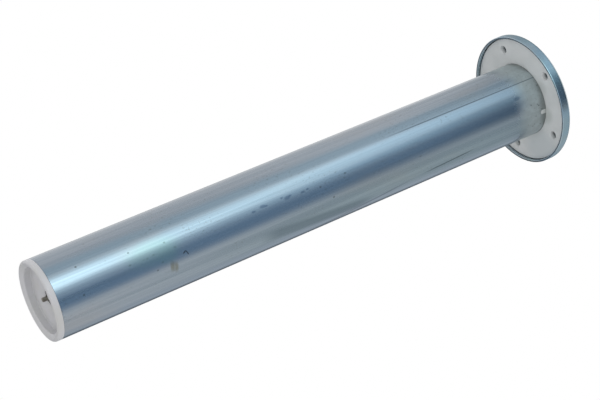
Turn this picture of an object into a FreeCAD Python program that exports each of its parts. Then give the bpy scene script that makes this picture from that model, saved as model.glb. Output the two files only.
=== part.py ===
import FreeCAD, Part
import math
import os
import re

import Sketcher
from FreeCAD import Placement, Rotation, Vector

# Immersion-tube fuel level sender, hung from its flange.
# The origin is the centre of the flange's seal face, +Z runs up along the tube's axis,
# and the tube, the float and its wires hang below.

# Driving dimensions: alias, value in millimetres, degrees or pieces, meaning
SIZES = (
    ("overall_depth", 390.0, "from the seal face to the rim of the bottom cap"),
    ("tube_diameter", 54.0, "outside of the protective tube"),
    ("tube_wall", 1.5, "wall of the protective tube"),
    ("plug_gap", 0.05, "radial gap of what plugs into the tube"),
    ("vent_diameter", 3.0, "air vent near the top of the tube, at the back"),
    ("vent_depth", 22.0, "from the seal face to the air vent"),
    ("lip_height", 4.2, "bottom cap's lip below the tube's end"),
    ("cap_lip", 4.75, "width of the bottom cap's lip round its recess"),
    ("cap_recess", 7.5, "from the cap's rim to its floor"),
    ("cap_floor", 2.0, "thickness of the cap's floor"),
    ("cap_plug_length", 12.0, "part of the cap inside the tube"),
    ("cap_plug_wall", 2.2, "wall of that part"),
    ("cap_rounding", 1.6, "rounding of the cap's rim"),
    ("cap_corner", 1.6, "rounding between the recess and its floor"),
    ("inlet_reach", 5.2, "fuel inlet slots in the cap's floor, from the axis to their ends"),
    ("inlet_width", 2.3, "fuel inlet slots"),
    ("inlet_count", 3.0, "fuel inlet slots round the rod"),
    ("inlet_azimuth", -20.0, "direction of the first inlet slot"),
    ("disc_gap", 0.4, "radial gap between the white disc and the cover's rim"),
    ("disc_thickness", 3.5, "white carrier disc"),
    ("tube_seat", 0.5, "groove in the disc that the tube's end sits in"),
    ("tube_seat_gap", 0.2, "radial gap round the tube in that groove"),
    ("spigot_length", 12.0, "carrier's spigot inside the tube"),
    ("spigot_wall", 2.5, "carrier's spigot"),
    ("boss_diameter", 11.0, "carrier's boss round the guide rod"),
    ("lug_width", 3.2, "carrier's lug in the tube's slot"),
    ("lug_length", 4.5, "carrier's lug, along the tube"),
    ("lug_azimuth", -45.0, "direction of the first lug"),
    ("lug_count", 2.0, "lugs round the spigot"),
    ("lug_gap", 0.1, "gap between a lug and its slot, and below the tube's surface"),
    ("cover_diameter", 96.0, "pressed steel cover, over its rim"),
    ("cover_sheet", 1.6, "sheet thickness of the cover"),
    ("cover_bend", 2.4, "outside radius of the cover's bend"),
    ("cover_edge", 0.4, "chamfer of the rim's free edge"),
    ("rim_depth", 2.5, "rim below the seal face, round the gasket's place"),
    ("bolt_margin", 10.0, "bolt holes' axes inwards of the cover's outside"),
    ("bolt_hole", 5.5, "bolt hole diameter"),
    ("bolt_chamfer", 0.5, "chamfer of the bolt holes at the seal face"),
    ("bolt_count", 5.0, "bolt holes, evenly spaced"),
    ("bolt_azimuth", -90.0, "direction of the first bolt hole"),
    ("rod_diameter", 3.0, "guide rod"),
    ("rod_foot", 4.5, "guide rod below the cap's floor"),
    ("rod_head", 3.6, "guide rod above the cover"),
    ("rod_dimple", 0.7, "centre mark in the rod's foot, radius and depth"),
    ("rod_chamfer", 0.3, "chamfer of the rod's ends"),
    ("collar_diameter", 8.0, "guide rod's collar under the boss"),
    ("collar_height", 1.5, "guide rod's collar under the boss"),
    ("slip_gap", 0.05, "radial gap of still pieces on a rod or stud"),
    ("clip_diameter", 8.2, "push-on washer"),
    ("clip_crown", 5.0, "diameter over the push-on washer's prongs"),
    ("clip_sheet", 0.5, "push-on washer's sheet"),
    ("clip_tip", 0.6, "flat tip of a prong, outwards from the rod"),
    ("clip_height", 1.2, "push-on washer over its raised prongs"),
    ("clip_slit", 0.5, "width of the slits between the prongs"),
    ("clip_prongs", 3.0, "prongs of the push-on washer"),
    ("stop_height", 4.0, "rubber stop under the rod's collar"),
    ("plate_thickness", 3.0, "lower anchor plate"),
    ("plate_passage", 8.0, "diameter of the anchor plate's fuel passages"),
    ("passage_circle", 30.0, "pitch circle of the fuel passages"),
    ("passage_count", 4.0, "fuel passages"),
    ("passage_azimuth", 45.0, "direction of the first fuel passage"),
    ("wire_offset", 12.0, "resistance wires from the axis"),
    ("wire_diameter", 0.4, "resistance wire"),
    ("wire_gap", 0.25, "radial gap where a wire passes through a plate or strip"),
    ("ferrule_diameter", 1.8, "crimped wire ferrule"),
    ("ferrule_length", 2.4, "crimped wire ferrule"),
    ("lead_margin", 5.5, "warning lead's axis inwards of the tube's bore"),
    ("lead_diameter", 1.5, "warning lead"),
    ("strip_sheet", 0.4, "thickness of the contact strips"),
    ("strip_width", 5.0, "width of the contact strips"),
    ("strip_margin", 2.2, "strip past its last hole"),
    ("spring_drop", 3.0, "step down of a wire spring"),
    ("spring_run", 1.0, "length of that step"),
    ("warning_reach", 3.2, "warning contact's tip from the axis"),
    ("warning_bend", 10.0, "warning contact's bend from the axis"),
    ("terminal_margin", 10.5, "terminal studs' axes inwards of the tube's bore"),
    ("stud_diameter", 4.0, "terminal stud"),
    ("stud_head", 7.6, "terminal stud's head"),
    ("stud_head_height", 2.4, "terminal stud's head"),
    ("stud_rise", 15.0, "terminal stud above the cover"),
    ("stud_chamfer", 0.5, "chamfer of the stud's end"),
    ("seal_section", 1.6, "square section of the terminals' seal rings"),
    ("rod_seal_section", 1.2, "square section of the rod's seal ring"),
    ("seal_room", 0.1, "room round and above a seal ring in its seat"),
    ("bush_bore_wall", 2.4, "wall of an insulating bush's neck"),
    ("bush_flange", 13.0, "flange diameter of an insulating bush"),
    ("bush_flange_height", 1.5, "flange thickness of an insulating bush"),
    ("washer_diameter", 9.0, "flat washer on a terminal"),
    ("washer_height", 0.8, "flat washer on a terminal"),
    ("nut_flats", 7.0, "terminal nut across flats"),
    ("nut_height", 3.2, "terminal nut"),
    ("nut_chamfer", 0.3, "chamfer of a nut's corners"),
    ("lock_washer_diameter", 7.0, "spring lock washer"),
    ("lock_washer_height", 1.0, "spring lock washer"),
    ("lock_washer_slit", 0.6, "slit of the spring lock washer"),
    ("rod_washer_diameter", 7.0, "washer under the rod's nut"),
    ("rod_washer_height", 0.5, "washer under the rod's nut"),
    ("rod_nut_flats", 5.5, "rod's nut across flats"),
    ("rod_nut_height", 2.4, "rod's nut"),
    ("float_diameter", 43.0, "foam float"),
    ("float_height", 30.0, "foam float"),
    ("float_chamfer", 1.5, "chamfer of the float's rims"),
    ("float_wire_hole", 3.2, "holes of the float that the wires pass through"),
    ("float_lead_slot", 3.5, "slot of the float that the warning lead passes through"),
    ("bush_diameter", 7.0, "float bush"),
    ("bush_running_gap", 0.08, "radial running gap of the float bush on the rod"),
    ("bush_foot_diameter", 8.0, "float bush's foot below the float"),
    ("bush_foot_height", 1.0, "float bush's foot below the float"),
    ("bush_head", 1.1, "float bush above the contact bridge"),
    ("bridge_sheet", 0.3, "contact bridge"),
    ("bridge_width", 10.0, "contact bridge at the bush"),
    ("bridge_arm_width", 4.0, "contact bridge's arms"),
    ("bridge_rise", 2.6, "lift of the contact bridge's arms"),
    ("bridge_flat", 6.5, "half length of the bridge's flat middle"),
    ("bridge_end", 14.0, "half length of the whole bridge"),
    ("bridge_wire_hole", 1.1, "hole of the bridge round a wire"),
)

# Directions of the terminals, degrees
WARNING_AZIMUTH = 90
SIGNAL_AZIMUTH = 210
GROUND_AZIMUTH = 330

# Levels and radii that follow from the sheet
TUBE_RADIUS = "tube_diameter / 2"
TUBE_BORE = "(tube_diameter / 2 - tube_wall)"
PLUG_RADIUS = "(tube_diameter / 2 - tube_wall - plug_gap)"
TUBE_FOOT = "(lip_height - overall_depth)"
CAP_FLOOR_BOTTOM = "(cap_recess - overall_depth)"
CAP_FLOOR_TOP = "(cap_recess + cap_floor - overall_depth)"
PLATE_BOTTOM = "(lip_height + cap_plug_length - overall_depth)"
PLATE_TOP = "(lip_height + cap_plug_length + plate_thickness - overall_depth)"
DISC_RADIUS = "(cover_diameter / 2 - cover_sheet - disc_gap)"
BOLT_RADIUS = "(cover_diameter / 2 - bolt_margin)"
TERMINAL_RADIUS = "(tube_diameter / 2 - tube_wall - terminal_margin)"
LEAD_RADIUS = "(tube_diameter / 2 - tube_wall - lead_margin)"
COVER_TOP = "(disc_thickness + cover_sheet)"
ROD_RADIUS = "rod_diameter / 2"
ROD_HOLE = "(rod_diameter / 2 + slip_gap)"
COLLAR_BOTTOM = "(-spigot_length - collar_height)"
STOP_BOTTOM = "(-spigot_length - collar_height - stop_height)"
STUD_RADIUS = "stud_diameter / 2"
STUD_HOLE = "(stud_diameter / 2 + slip_gap)"
WIRE_TOP = "(-spring_drop + ferrule_length)"
WIRE_BOTTOM = "(lip_height + cap_plug_length - overall_depth - ferrule_length)"
BUSH_BOTTOM = "(lip_height + cap_plug_length + plate_thickness + clip_height - overall_depth)"
FLOAT_BOTTOM = BUSH_BOTTOM + " + bush_foot_height"
FLOAT_TOP = FLOAT_BOTTOM + " + float_height"

doc = FreeCAD.newDocument("FuelLevelSender")
sheet = doc.addObject("Spreadsheet::Sheet", "Sizes")
nodes = []


def fill_sheet():
    """Write each driving dimension into a row of the sheet, under its alias."""
    for row, (alias, number, meaning) in enumerate(SIZES, start=1):
        sheet.set(f"A{row}", alias)
        sheet.set(f"B{row}", str(number))
        sheet.setAlias(f"B{row}", alias)
        sheet.set(f"C{row}", meaning)
    doc.recompute()


def cells(expression):
    """Turn the aliases of an expression into references to the sheet."""
    return re.sub(r"[a-z]+(?:_[a-z]+)+", lambda word: "Sizes." + word.group(0), str(expression))


def number_of(expression):
    """Present value of an expression of the sheet."""
    return float(sheet.evalExpression(cells(expression)))


def bind(thing, **expressions):
    """Bind properties to the sheet; a double underscore stands for a dot."""
    for name, expression in expressions.items():
        thing.setExpression(name.replace("__", "."), cells(expression))


def place(thing, x="0", y="0", z="0", angle=None):
    """Bind where a thing stands, and its turn about the vertical."""
    if angle is not None:
        turn = Rotation(Vector(0, 0, 1), number_of(angle))
        thing.Placement = Placement(Vector(), turn)
        bind(thing, Placement__Rotation__Angle=angle)
    bind(thing, Placement__Base__x=x, Placement__Base__y=y, Placement__Base__z=z)


def polar(radius, azimuth):
    """Expressions of the two coordinates of a point at a radius and azimuth."""
    return f"{radius} * cos({azimuth})", f"{radius} * sin({azimuth})"


def node(thing, label):
    """Name a finished sub-part and list it for writing."""
    thing.Label = label
    nodes.append(thing)
    return thing


def new_body(name):
    """Start a body."""
    return doc.addObject("PartDesign::Body", name)


def origin_feature(body, role):
    """Plane or axis of a body's own origin."""
    return next(item for item in body.Origin.OriginFeatures if item.Role == role)


def new_sketch(body, name, role="XY_Plane", height=None, turn=None):
    """Sketch on a plane of the body's origin, lifted along its normal or turned about the vertical."""
    sketch = body.newObject("Sketcher::SketchObject", name)
    sketch.AttachmentSupport = [(origin_feature(body, role), "")]
    sketch.MapMode = "FlatFace"
    if turn is not None:
        upright = Vector(0, 0, 1) if role == "XY_Plane" else Vector(0, 1, 0)
        sketch.AttachmentOffset = Placement(Vector(), Rotation(upright, number_of(turn)))
        bind(sketch, AttachmentOffset__Rotation__Angle=turn)
    if height is not None:
        bind(sketch, AttachmentOffset__Base__z=height)
    return sketch


def hold(sketch, geometry, point, x, y):
    """Hold a point of a sketch at two expressions of the sheet."""
    for kind, expression in (("DistanceX", x), ("DistanceY", y)):
        rule = Sketcher.Constraint(kind, -1, 1, geometry, point, number_of(expression))
        index = sketch.addConstraint(rule)
        sketch.setExpression(f"Constraints[{index}]", cells(expression))


def add_polygon(sketch, corners):
    """Closed outline of straight lines through corners given as pairs of expressions."""
    points = [Vector(number_of(x), number_of(y), 0) for x, y in corners]
    first = sketch.GeometryCount
    count = len(points)
    for index in range(count):
        sketch.addGeometry(Part.LineSegment(points[index], points[(index + 1) % count]), False)
    for index in range(count):
        following = first + (index + 1) % count
        sketch.addConstraint(Sketcher.Constraint("Coincident", first + index, 2, following, 1))
    for index, (x, y) in enumerate(corners):
        hold(sketch, first + index, 1, x, y)


def add_box(sketch, left, right, low, high):
    """Rectangle between four expressions."""
    add_polygon(sketch, ((left, low), (right, low), (right, high), (left, high)))


def add_circle(sketch, radius, x="0", y="0"):
    """Circle whose centre and radius follow the sheet."""
    centre = Vector(number_of(x), number_of(y), 0)
    index = sketch.addGeometry(Part.Circle(centre, Vector(0, 0, 1), number_of(radius)), False)
    hold(sketch, index, 3, x, y)
    rule = sketch.addConstraint(Sketcher.Constraint("Radius", index, number_of(radius)))
    sketch.setExpression(f"Constraints[{rule}]", cells(radius))


def add_tab(sketch, half_width, top, end):
    """Tab down the middle of a sketch: straight sides, a square top and a round lower end."""
    half = number_of(half_width)
    high = number_of(top)
    centre = number_of(end) + half
    left = sketch.addGeometry(Part.LineSegment(Vector(-half, high, 0), Vector(-half, centre, 0)), False)
    arc = Part.ArcOfCircle(Part.Circle(Vector(0, centre, 0), Vector(0, 0, 1), half), math.pi, 2 * math.pi)
    foot = sketch.addGeometry(arc, False)
    right = sketch.addGeometry(Part.LineSegment(Vector(half, centre, 0), Vector(half, high, 0)), False)
    lid = sketch.addGeometry(Part.LineSegment(Vector(half, high, 0), Vector(-half, high, 0)), False)
    sketch.addConstraint(Sketcher.Constraint("Tangent", left, 2, foot, 1))
    sketch.addConstraint(Sketcher.Constraint("Tangent", foot, 2, right, 1))
    sketch.addConstraint(Sketcher.Constraint("Coincident", right, 2, lid, 1))
    sketch.addConstraint(Sketcher.Constraint("Coincident", lid, 2, left, 1))
    sketch.addConstraint(Sketcher.Constraint("Vertical", left))
    sketch.addConstraint(Sketcher.Constraint("Vertical", right))
    sketch.addConstraint(Sketcher.Constraint("Horizontal", lid))
    hold(sketch, foot, 3, "0", f"({end}) + {half_width}")
    rule = sketch.addConstraint(Sketcher.Constraint("Radius", foot, half))
    sketch.setExpression(f"Constraints[{rule}]", cells(half_width))
    level = sketch.addConstraint(Sketcher.Constraint("DistanceY", -1, 1, lid, 1, high))
    sketch.setExpression(f"Constraints[{level}]", cells(top))


def revolve(body, name, corners):
    """Turn a closed outline of (radius, height) corners about the vertical axis."""
    sketch = new_sketch(body, name + "Profile", "XZ_Plane")
    add_polygon(sketch, corners)
    turned = body.newObject("PartDesign::Revolution", name)
    turned.Profile = sketch
    turned.ReferenceAxis = (sketch, ["V_Axis"])
    turned.Angle = 360
    doc.recompute()
    return turned


def groove(body, name, outlines):
    """Turn away the material inside closed outlines of (radius, height) corners."""
    before = body.Shape.Volume
    sketch = new_sketch(body, name + "Profile", "XZ_Plane")
    for corners in outlines:
        add_polygon(sketch, corners)
    cut = body.newObject("PartDesign::Groove", name)
    cut.Profile = sketch
    cut.ReferenceAxis = (sketch, ["V_Axis"])
    cut.Angle = 360
    doc.recompute()
    require_cut(body, name, before)
    return cut


def pad(body, name, sketch, length, both_ways=False, backwards=False):
    """Thicken a sketch."""
    thick = body.newObject("PartDesign::Pad", name)
    thick.Profile = sketch
    thick.SideType = "Symmetric" if both_ways else "One side"
    thick.Reversed = backwards
    bind(thick, Length=length)
    doc.recompute()
    return thick


def pocket(body, name, sketch, depth=None, both_ways=True):
    """Cut a sketch through everything, or to a depth against its normal."""
    before = body.Shape.Volume
    cut = body.newObject("PartDesign::Pocket", name)
    cut.Profile = sketch
    if depth is None:
        cut.Type = "ThroughAll"
        cut.SideType = "Symmetric" if both_ways else "One side"
    else:
        bind(cut, Length=depth)
    doc.recompute()
    require_cut(body, name, before)
    return cut


def require_cut(body, name, before):
    """Stop if a cut took nothing away."""
    if body.Shape.Volume >= before:
        raise ValueError(f"{body.Name}: {name} cuts nothing")


def repeat_round(body, name, features, count):
    """Repeat features evenly about the vertical axis."""
    pattern = body.newObject("PartDesign::PolarPattern", name)
    pattern.Originals = features
    pattern.Axis = (origin_feature(body, "Z_Axis"), [""])
    pattern.Angle = 360
    bind(pattern, Occurrences=count)
    body.Tip = pattern
    doc.recompute()
    return pattern


def circle_edges(body, radius, height):
    """Names of the round edges of a body with a radius, at a height."""
    wanted_radius = number_of(radius)
    wanted_height = number_of(height)
    names = []
    for index, edge in enumerate(body.Tip.Shape.Edges, start=1):
        curve = edge.Curve
        if not isinstance(curve, Part.Circle):
            continue
        if abs(curve.Radius - wanted_radius) < 1e-4 and abs(curve.Center.z - wanted_height) < 1e-4:
            names.append(f"Edge{index}")
    if not names:
        raise ValueError(f"{body.Name}: no round edge of radius {radius} at {height}")
    return names


def soften(body, kind, name, edges, size):
    """Fillet or chamfer round edges given as (radius, height) pairs."""
    base = body.Tip
    names = [edge for radius, height in edges for edge in circle_edges(body, radius, height)]
    soft = body.newObject("PartDesign::" + kind, name)
    soft.Base = (base, names)
    if kind == "Fillet":
        bind(soft, Radius=size)
    else:
        bind(soft, Size=size)
    doc.recompute()
    return soft


def turned_ring(name, inner, outer, height):
    """Flat ring that stands on its own XY plane."""
    body = new_body(name)
    revolve(body, name + "Ring", ((inner, "0"), (outer, "0"), (outer, height), (inner, height)))
    return body


def group(label, members):
    """One node that holds several identical pieces as separate solids."""
    compound = doc.addObject("Part::Compound", label)
    compound.Links = members
    return node(compound, label)


def make_protective_tube():
    """Drawn aluminium tube: a chamfered head with two lug slots, and an air vent at its back."""
    body = new_body("Tube")
    ring = new_sketch(body, "TubeRing", height="tube_seat")
    add_circle(ring, TUBE_RADIUS)
    add_circle(ring, TUBE_BORE)
    pad(body, "TubeWall", ring, "overall_depth - lip_height + tube_seat", backwards=True)
    soften(body, "Chamfer", "HeadChamfer", ((TUBE_RADIUS, "tube_seat"),), "tube_seat")
    slot = new_sketch(body, "LugSlotOutline", "XZ_Plane", turn="lug_azimuth + 90")
    add_tab(slot, "(lug_width / 2 + lug_gap)", "tube_seat + lug_gap", "-lug_length - lug_gap")
    cut = pocket(body, "LugSlot", slot, both_ways=False)
    cut.Reversed = True
    repeat_round(body, "LugSlots", [cut], "lug_count")
    vent = new_sketch(body, "VentOutline", "XZ_Plane")
    add_circle(vent, "vent_diameter / 2", "0", "-vent_depth")
    pocket(body, "Vent", vent, both_ways=False)
    return node(body, "protective_tube")


def make_bottom_cap():
    """Moulded cap: a recessed foot with inlet slots, a lip under the tube's end and a wall inside it."""
    body = new_body("Cap")
    rim = "-overall_depth"
    inner = f"({PLUG_RADIUS} - cap_plug_wall)"
    opening = "(tube_diameter / 2 - cap_lip)"
    revolve(body, "CapBody", (
        (opening, rim),
        (TUBE_RADIUS, rim),
        (TUBE_RADIUS, TUBE_FOOT),
        (PLUG_RADIUS, TUBE_FOOT),
        (PLUG_RADIUS, PLATE_BOTTOM),
        (inner, PLATE_BOTTOM),
        (inner, CAP_FLOOR_TOP),
        (ROD_HOLE, CAP_FLOOR_TOP),
        (ROD_HOLE, CAP_FLOOR_BOTTOM),
        (opening, CAP_FLOOR_BOTTOM),
    ))
    soften(body, "Fillet", "RimRounding", ((TUBE_RADIUS, rim), (opening, rim)), "cap_rounding")
    soften(body, "Fillet", "RecessCorner", ((opening, CAP_FLOOR_BOTTOM),), "cap_corner")
    slot = new_sketch(body, "InletOutline", turn="inlet_azimuth + 90")
    add_tab(slot, "inlet_width / 2", "0", "-inlet_reach")
    inlet = pocket(body, "Inlet", slot)
    repeat_round(body, "Inlets", [inlet], "inlet_count")
    return node(body, "bottom_cap")


def make_flange_carrier():
    """Moulded disc with a spigot and lugs for the tube, a boss for the rod and seats for the seals."""
    body = new_body("Carrier")
    seat_edge = "(tube_diameter / 2 + tube_seat_gap)"
    spigot_inner = f"({PLUG_RADIUS} - spigot_wall)"
    boss = "boss_diameter / 2"
    revolve(body, "CarrierBody", (
        (ROD_HOLE, "disc_thickness"),
        (ROD_HOLE, "-spigot_length"),
        (boss, "-spigot_length"),
        (boss, "0"),
        (spigot_inner, "0"),
        (spigot_inner, "-spigot_length"),
        (PLUG_RADIUS, "-spigot_length"),
        (PLUG_RADIUS, "tube_seat"),
        (seat_edge, "tube_seat"),
        (seat_edge, "0"),
        (DISC_RADIUS, "0"),
        (DISC_RADIUS, "disc_thickness"),
    ))
    lug = new_sketch(body, "LugOutline", "XZ_Plane", turn="lug_azimuth + 90")
    bind(lug, AttachmentOffset__Base__x=f"({PLUG_RADIUS} - spigot_wall / 2) * cos(lug_azimuth)",
         AttachmentOffset__Base__z=f"-({PLUG_RADIUS} - spigot_wall / 2) * sin(lug_azimuth)")
    add_tab(lug, "lug_width / 2", "tube_seat", "-lug_length")
    block = pad(body, "Lug", lug, "spigot_wall / 2 + plug_gap + tube_wall - lug_gap")
    repeat_round(body, "Lugs", [block], "lug_count")
    cut_bolt_holes(body)
    soften(body, "Chamfer", "BoltChamfers", (("bolt_hole / 2", "0"),), "bolt_chamfer")
    for azimuth in (WARNING_AZIMUTH, SIGNAL_AZIMUTH, GROUND_AZIMUTH):
        x, y = polar(TERMINAL_RADIUS, azimuth)
        cut_seal_seat(body, f"Terminal{azimuth}", x, y, STUD_HOLE, "stud_diameter", "seal_section")
    cut_seal_seat(body, "Rod", "0", "0", None, "rod_diameter", "rod_seal_section")
    return node(body, "flange_carrier")


def cut_bolt_holes(body):
    """Bolt holes through a flange layer, evenly spaced."""
    outline = new_sketch(body, "BoltHoleOutline")
    x, y = polar(BOLT_RADIUS, "bolt_azimuth")
    add_circle(outline, "bolt_hole / 2", x, y)
    hole = pocket(body, "BoltHole", outline)
    repeat_round(body, "BoltHoles", [hole], "bolt_count")


def cut_seal_seat(body, name, x, y, hole, shaft, section):
    """Counterbore for a seal ring in the carrier's top, and the shaft's hole where it has none yet."""
    if hole is not None:
        outline = new_sketch(body, name + "HoleOutline")
        add_circle(outline, hole, x, y)
        pocket(body, name + "Hole", outline)
    seat = new_sketch(body, name + "SeatOutline", height="disc_thickness")
    add_circle(seat, f"{shaft} / 2 + {section} + seal_room", x, y)
    pocket(body, name + "Seat", seat, depth=f"{section} + seal_room")


def make_flange_cover():
    """Steel cover pressed as a shallow cup, whose rim stands past the seal face round the gasket."""
    body = new_body("Cover")
    outer = "cover_diameter / 2"
    inner = "(cover_diameter / 2 - cover_sheet)"
    edge = "-rim_depth"
    revolve(body, "CoverShell", (
        (ROD_HOLE, "disc_thickness"),
        (inner, "disc_thickness"),
        (inner, edge),
        (outer, edge),
        (outer, COVER_TOP),
        (ROD_HOLE, COVER_TOP),
    ))
    cut_bolt_holes(body)
    neck = f"({STUD_HOLE} + bush_bore_wall + slip_gap)"
    for name, azimuth, radius in (
        ("Warning", WARNING_AZIMUTH, neck),
        ("Signal", SIGNAL_AZIMUTH, neck),
        ("Ground", GROUND_AZIMUTH, STUD_HOLE),
    ):
        outline = new_sketch(body, name + "HoleOutline")
        add_circle(outline, radius, *polar(TERMINAL_RADIUS, azimuth))
        pocket(body, name + "Hole", outline)
    soften(body, "Fillet", "CoverBend", ((outer, COVER_TOP),), "cover_bend")
    soften(body, "Chamfer", "FreeEdge", ((outer, edge), (inner, edge)), "cover_edge")
    return node(body, "flange_cover")


def make_guide_rod():
    """Steel rod that carries the float and ties the foot of the tube to the flange."""
    body = new_body("Rod")
    foot = "(cap_recess - overall_depth - rod_foot)"
    head = f"({COVER_TOP} + rod_head)"
    collar = "collar_diameter / 2"
    revolve(body, "RodBody", (
        ("0", head),
        ("0", foot + " + rod_dimple"),
        ("rod_dimple", foot),
        (ROD_RADIUS + " - rod_chamfer", foot),
        (ROD_RADIUS, foot + " + rod_chamfer"),
        (ROD_RADIUS, COLLAR_BOTTOM),
        (collar, COLLAR_BOTTOM),
        (collar, "-spigot_length"),
        (ROD_RADIUS, "-spigot_length"),
        (ROD_RADIUS, head + " - rod_chamfer"),
        (ROD_RADIUS + " - rod_chamfer", head),
    ))
    return node(body, "guide_rod")


def make_rod_clip():
    """Push-on washer that holds the anchor plate down and that the empty float's bush stands on."""
    body = new_body("RodClip")
    crown = "clip_crown / 2"
    tip = f"({ROD_HOLE} + clip_tip)"
    revolve(body, "ClipRing", (
        (ROD_HOLE, "clip_height - clip_sheet"),
        (ROD_HOLE, "clip_height"),
        (tip, "clip_height"),
        (crown, "clip_sheet"),
        ("clip_diameter / 2", "clip_sheet"),
        ("clip_diameter / 2", "0"),
        (crown + " - clip_sheet / 2", "0"),
        (tip + " - clip_sheet / 2", "clip_height - clip_sheet"),
    ))
    outline = new_sketch(body, "ClipSlitOutline")
    add_box(outline, "0", crown + " - clip_sheet / 2", "-clip_slit / 2", "clip_slit / 2")
    slit = pocket(body, "ClipSlit", outline)
    repeat_round(body, "ClipSlits", [slit], "clip_prongs")
    place(body, z=PLATE_TOP)
    return node(body, "rod_clip")


def make_anchor_plate():
    """Insulating plate on top of the cap's wall that holds the foot of each wire."""
    body = new_body("AnchorPlate")
    disc = new_sketch(body, "PlateOutline", height=PLATE_BOTTOM)
    add_circle(disc, PLUG_RADIUS)
    add_circle(disc, ROD_HOLE)
    wire_hole = "wire_diameter / 2 + wire_gap"
    add_circle(disc, wire_hole, "wire_offset")
    add_circle(disc, wire_hole, "-wire_offset")
    add_circle(disc, "lead_diameter / 2 + slip_gap", "0", LEAD_RADIUS)
    pad(body, "PlateBody", disc, "plate_thickness")
    outline = new_sketch(body, "PassageOutline", height=PLATE_BOTTOM)
    add_circle(outline, "plate_passage / 2", *polar("passage_circle / 2", "passage_azimuth"))
    passage = pocket(body, "Passage", outline)
    repeat_round(body, "Passages", [passage], "passage_count")
    return node(body, "anchor_plate")


def make_resistance_wires():
    """Two fine wires stretched beside the rod, with a crimped ferrule at each end."""
    ferrules = []
    for side, x in (("left", "-wire_offset"), ("right", "wire_offset")):
        wire = doc.addObject("Part::Cylinder", "Wire" + side.title())
        bind(wire, Radius="wire_diameter / 2", Height=f"{WIRE_TOP} - {WIRE_BOTTOM}")
        place(wire, x=x, z=WIRE_BOTTOM)
        node(wire, "resistance_wire_" + side)
        for end, level in (("Top", "-spring_drop"), ("Foot", WIRE_BOTTOM)):
            name = f"Ferrule{side.title()}{end}"
            ferrule = turned_ring(name, "wire_diameter / 2", "ferrule_diameter / 2", "ferrule_length")
            place(ferrule, x=x, z=level)
            ferrules.append(ferrule)
    group("wire_ferrules", ferrules)


def make_wire_spring(side, azimuth, wire_x):
    """Stepped leaf clamped under a terminal's head, whose free end pulls a wire tight."""
    stud_x, stud_y = polar(TERMINAL_RADIUS, azimuth)
    reach_x = f"({wire_x} - {stud_x})"
    reach_y = f"(0 - {stud_y})"
    reach = f"sqrt(({reach_x})^2 + ({reach_y})^2)"
    clamp = "(stud_head / 2 + strip_sheet)"
    step = f"({clamp} + spring_run)"
    tip = f"({reach} + strip_margin)"
    body = new_body("WireSpring" + side.title())
    profile = new_sketch(body, "LeafProfile", "XZ_Plane")
    add_polygon(profile, (
        (f"-{clamp}", "0"),
        (f"-{clamp}", "-strip_sheet"),
        (clamp + " - strip_sheet / 2", "-strip_sheet"),
        (step + " - strip_sheet / 2", "-spring_drop - strip_sheet"),
        (tip, "-spring_drop - strip_sheet"),
        (tip, "-spring_drop"),
        (step, "-spring_drop"),
        (clamp, "0"),
    ))
    pad(body, "Leaf", profile, "strip_width", both_ways=True)
    holes = new_sketch(body, "LeafHoles")
    add_circle(holes, STUD_HOLE)
    add_circle(holes, "wire_diameter / 2 + wire_gap", reach)
    pocket(body, "LeafHole", holes)
    place(body, x=stud_x, y=stud_y, angle=f"atan2({reach_y}; {reach_x})")
    return node(body, "wire_spring_" + side)


def make_warning_parts():
    """Strip, stiff lead and sprung contact of the low-level warning circuit."""
    hole = "lead_diameter / 2 + slip_gap"
    strip = new_body("WarningStrip")
    outline = new_sketch(strip, "StripOutline")
    add_box(outline, "-strip_width / 2", "strip_width / 2",
            TERMINAL_RADIUS + " - stud_head / 2 - strip_sheet", LEAD_RADIUS + " + strip_margin")
    add_circle(outline, STUD_HOLE, "0", TERMINAL_RADIUS)
    add_circle(outline, hole, "0", LEAD_RADIUS)
    pad(strip, "Strip", outline, "strip_sheet", backwards=True)
    node(strip, "warning_strip")

    lead = doc.addObject("Part::Cylinder", "WarningLead")
    bind(lead, Radius="lead_diameter / 2", Height=f"-({PLATE_BOTTOM}) - slip_gap")
    place(lead, y=LEAD_RADIUS, z=PLATE_BOTTOM)
    node(lead, "warning_lead")

    leaf = new_body("WarningContact")
    profile = new_sketch(leaf, "ContactProfile", "YZ_Plane")
    low = PLATE_TOP
    high = BUSH_BOTTOM
    add_polygon(profile, (
        (LEAD_RADIUS + " + strip_margin", low),
        (LEAD_RADIUS + " + strip_margin", low + " + strip_sheet"),
        ("warning_bend", low + " + strip_sheet"),
        ("warning_reach + strip_margin", high),
        ("warning_reach", high),
        ("warning_reach", high + " - strip_sheet"),
        ("warning_reach + strip_margin", high + " - strip_sheet"),
        ("warning_bend", low),
    ))
    pad(leaf, "Contact", profile, "strip_width", both_ways=True)
    holes = new_sketch(leaf, "ContactHole")
    add_circle(holes, hole, "0", LEAD_RADIUS)
    pocket(leaf, "LeadHole", holes)
    node(leaf, "warning_contact")


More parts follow.
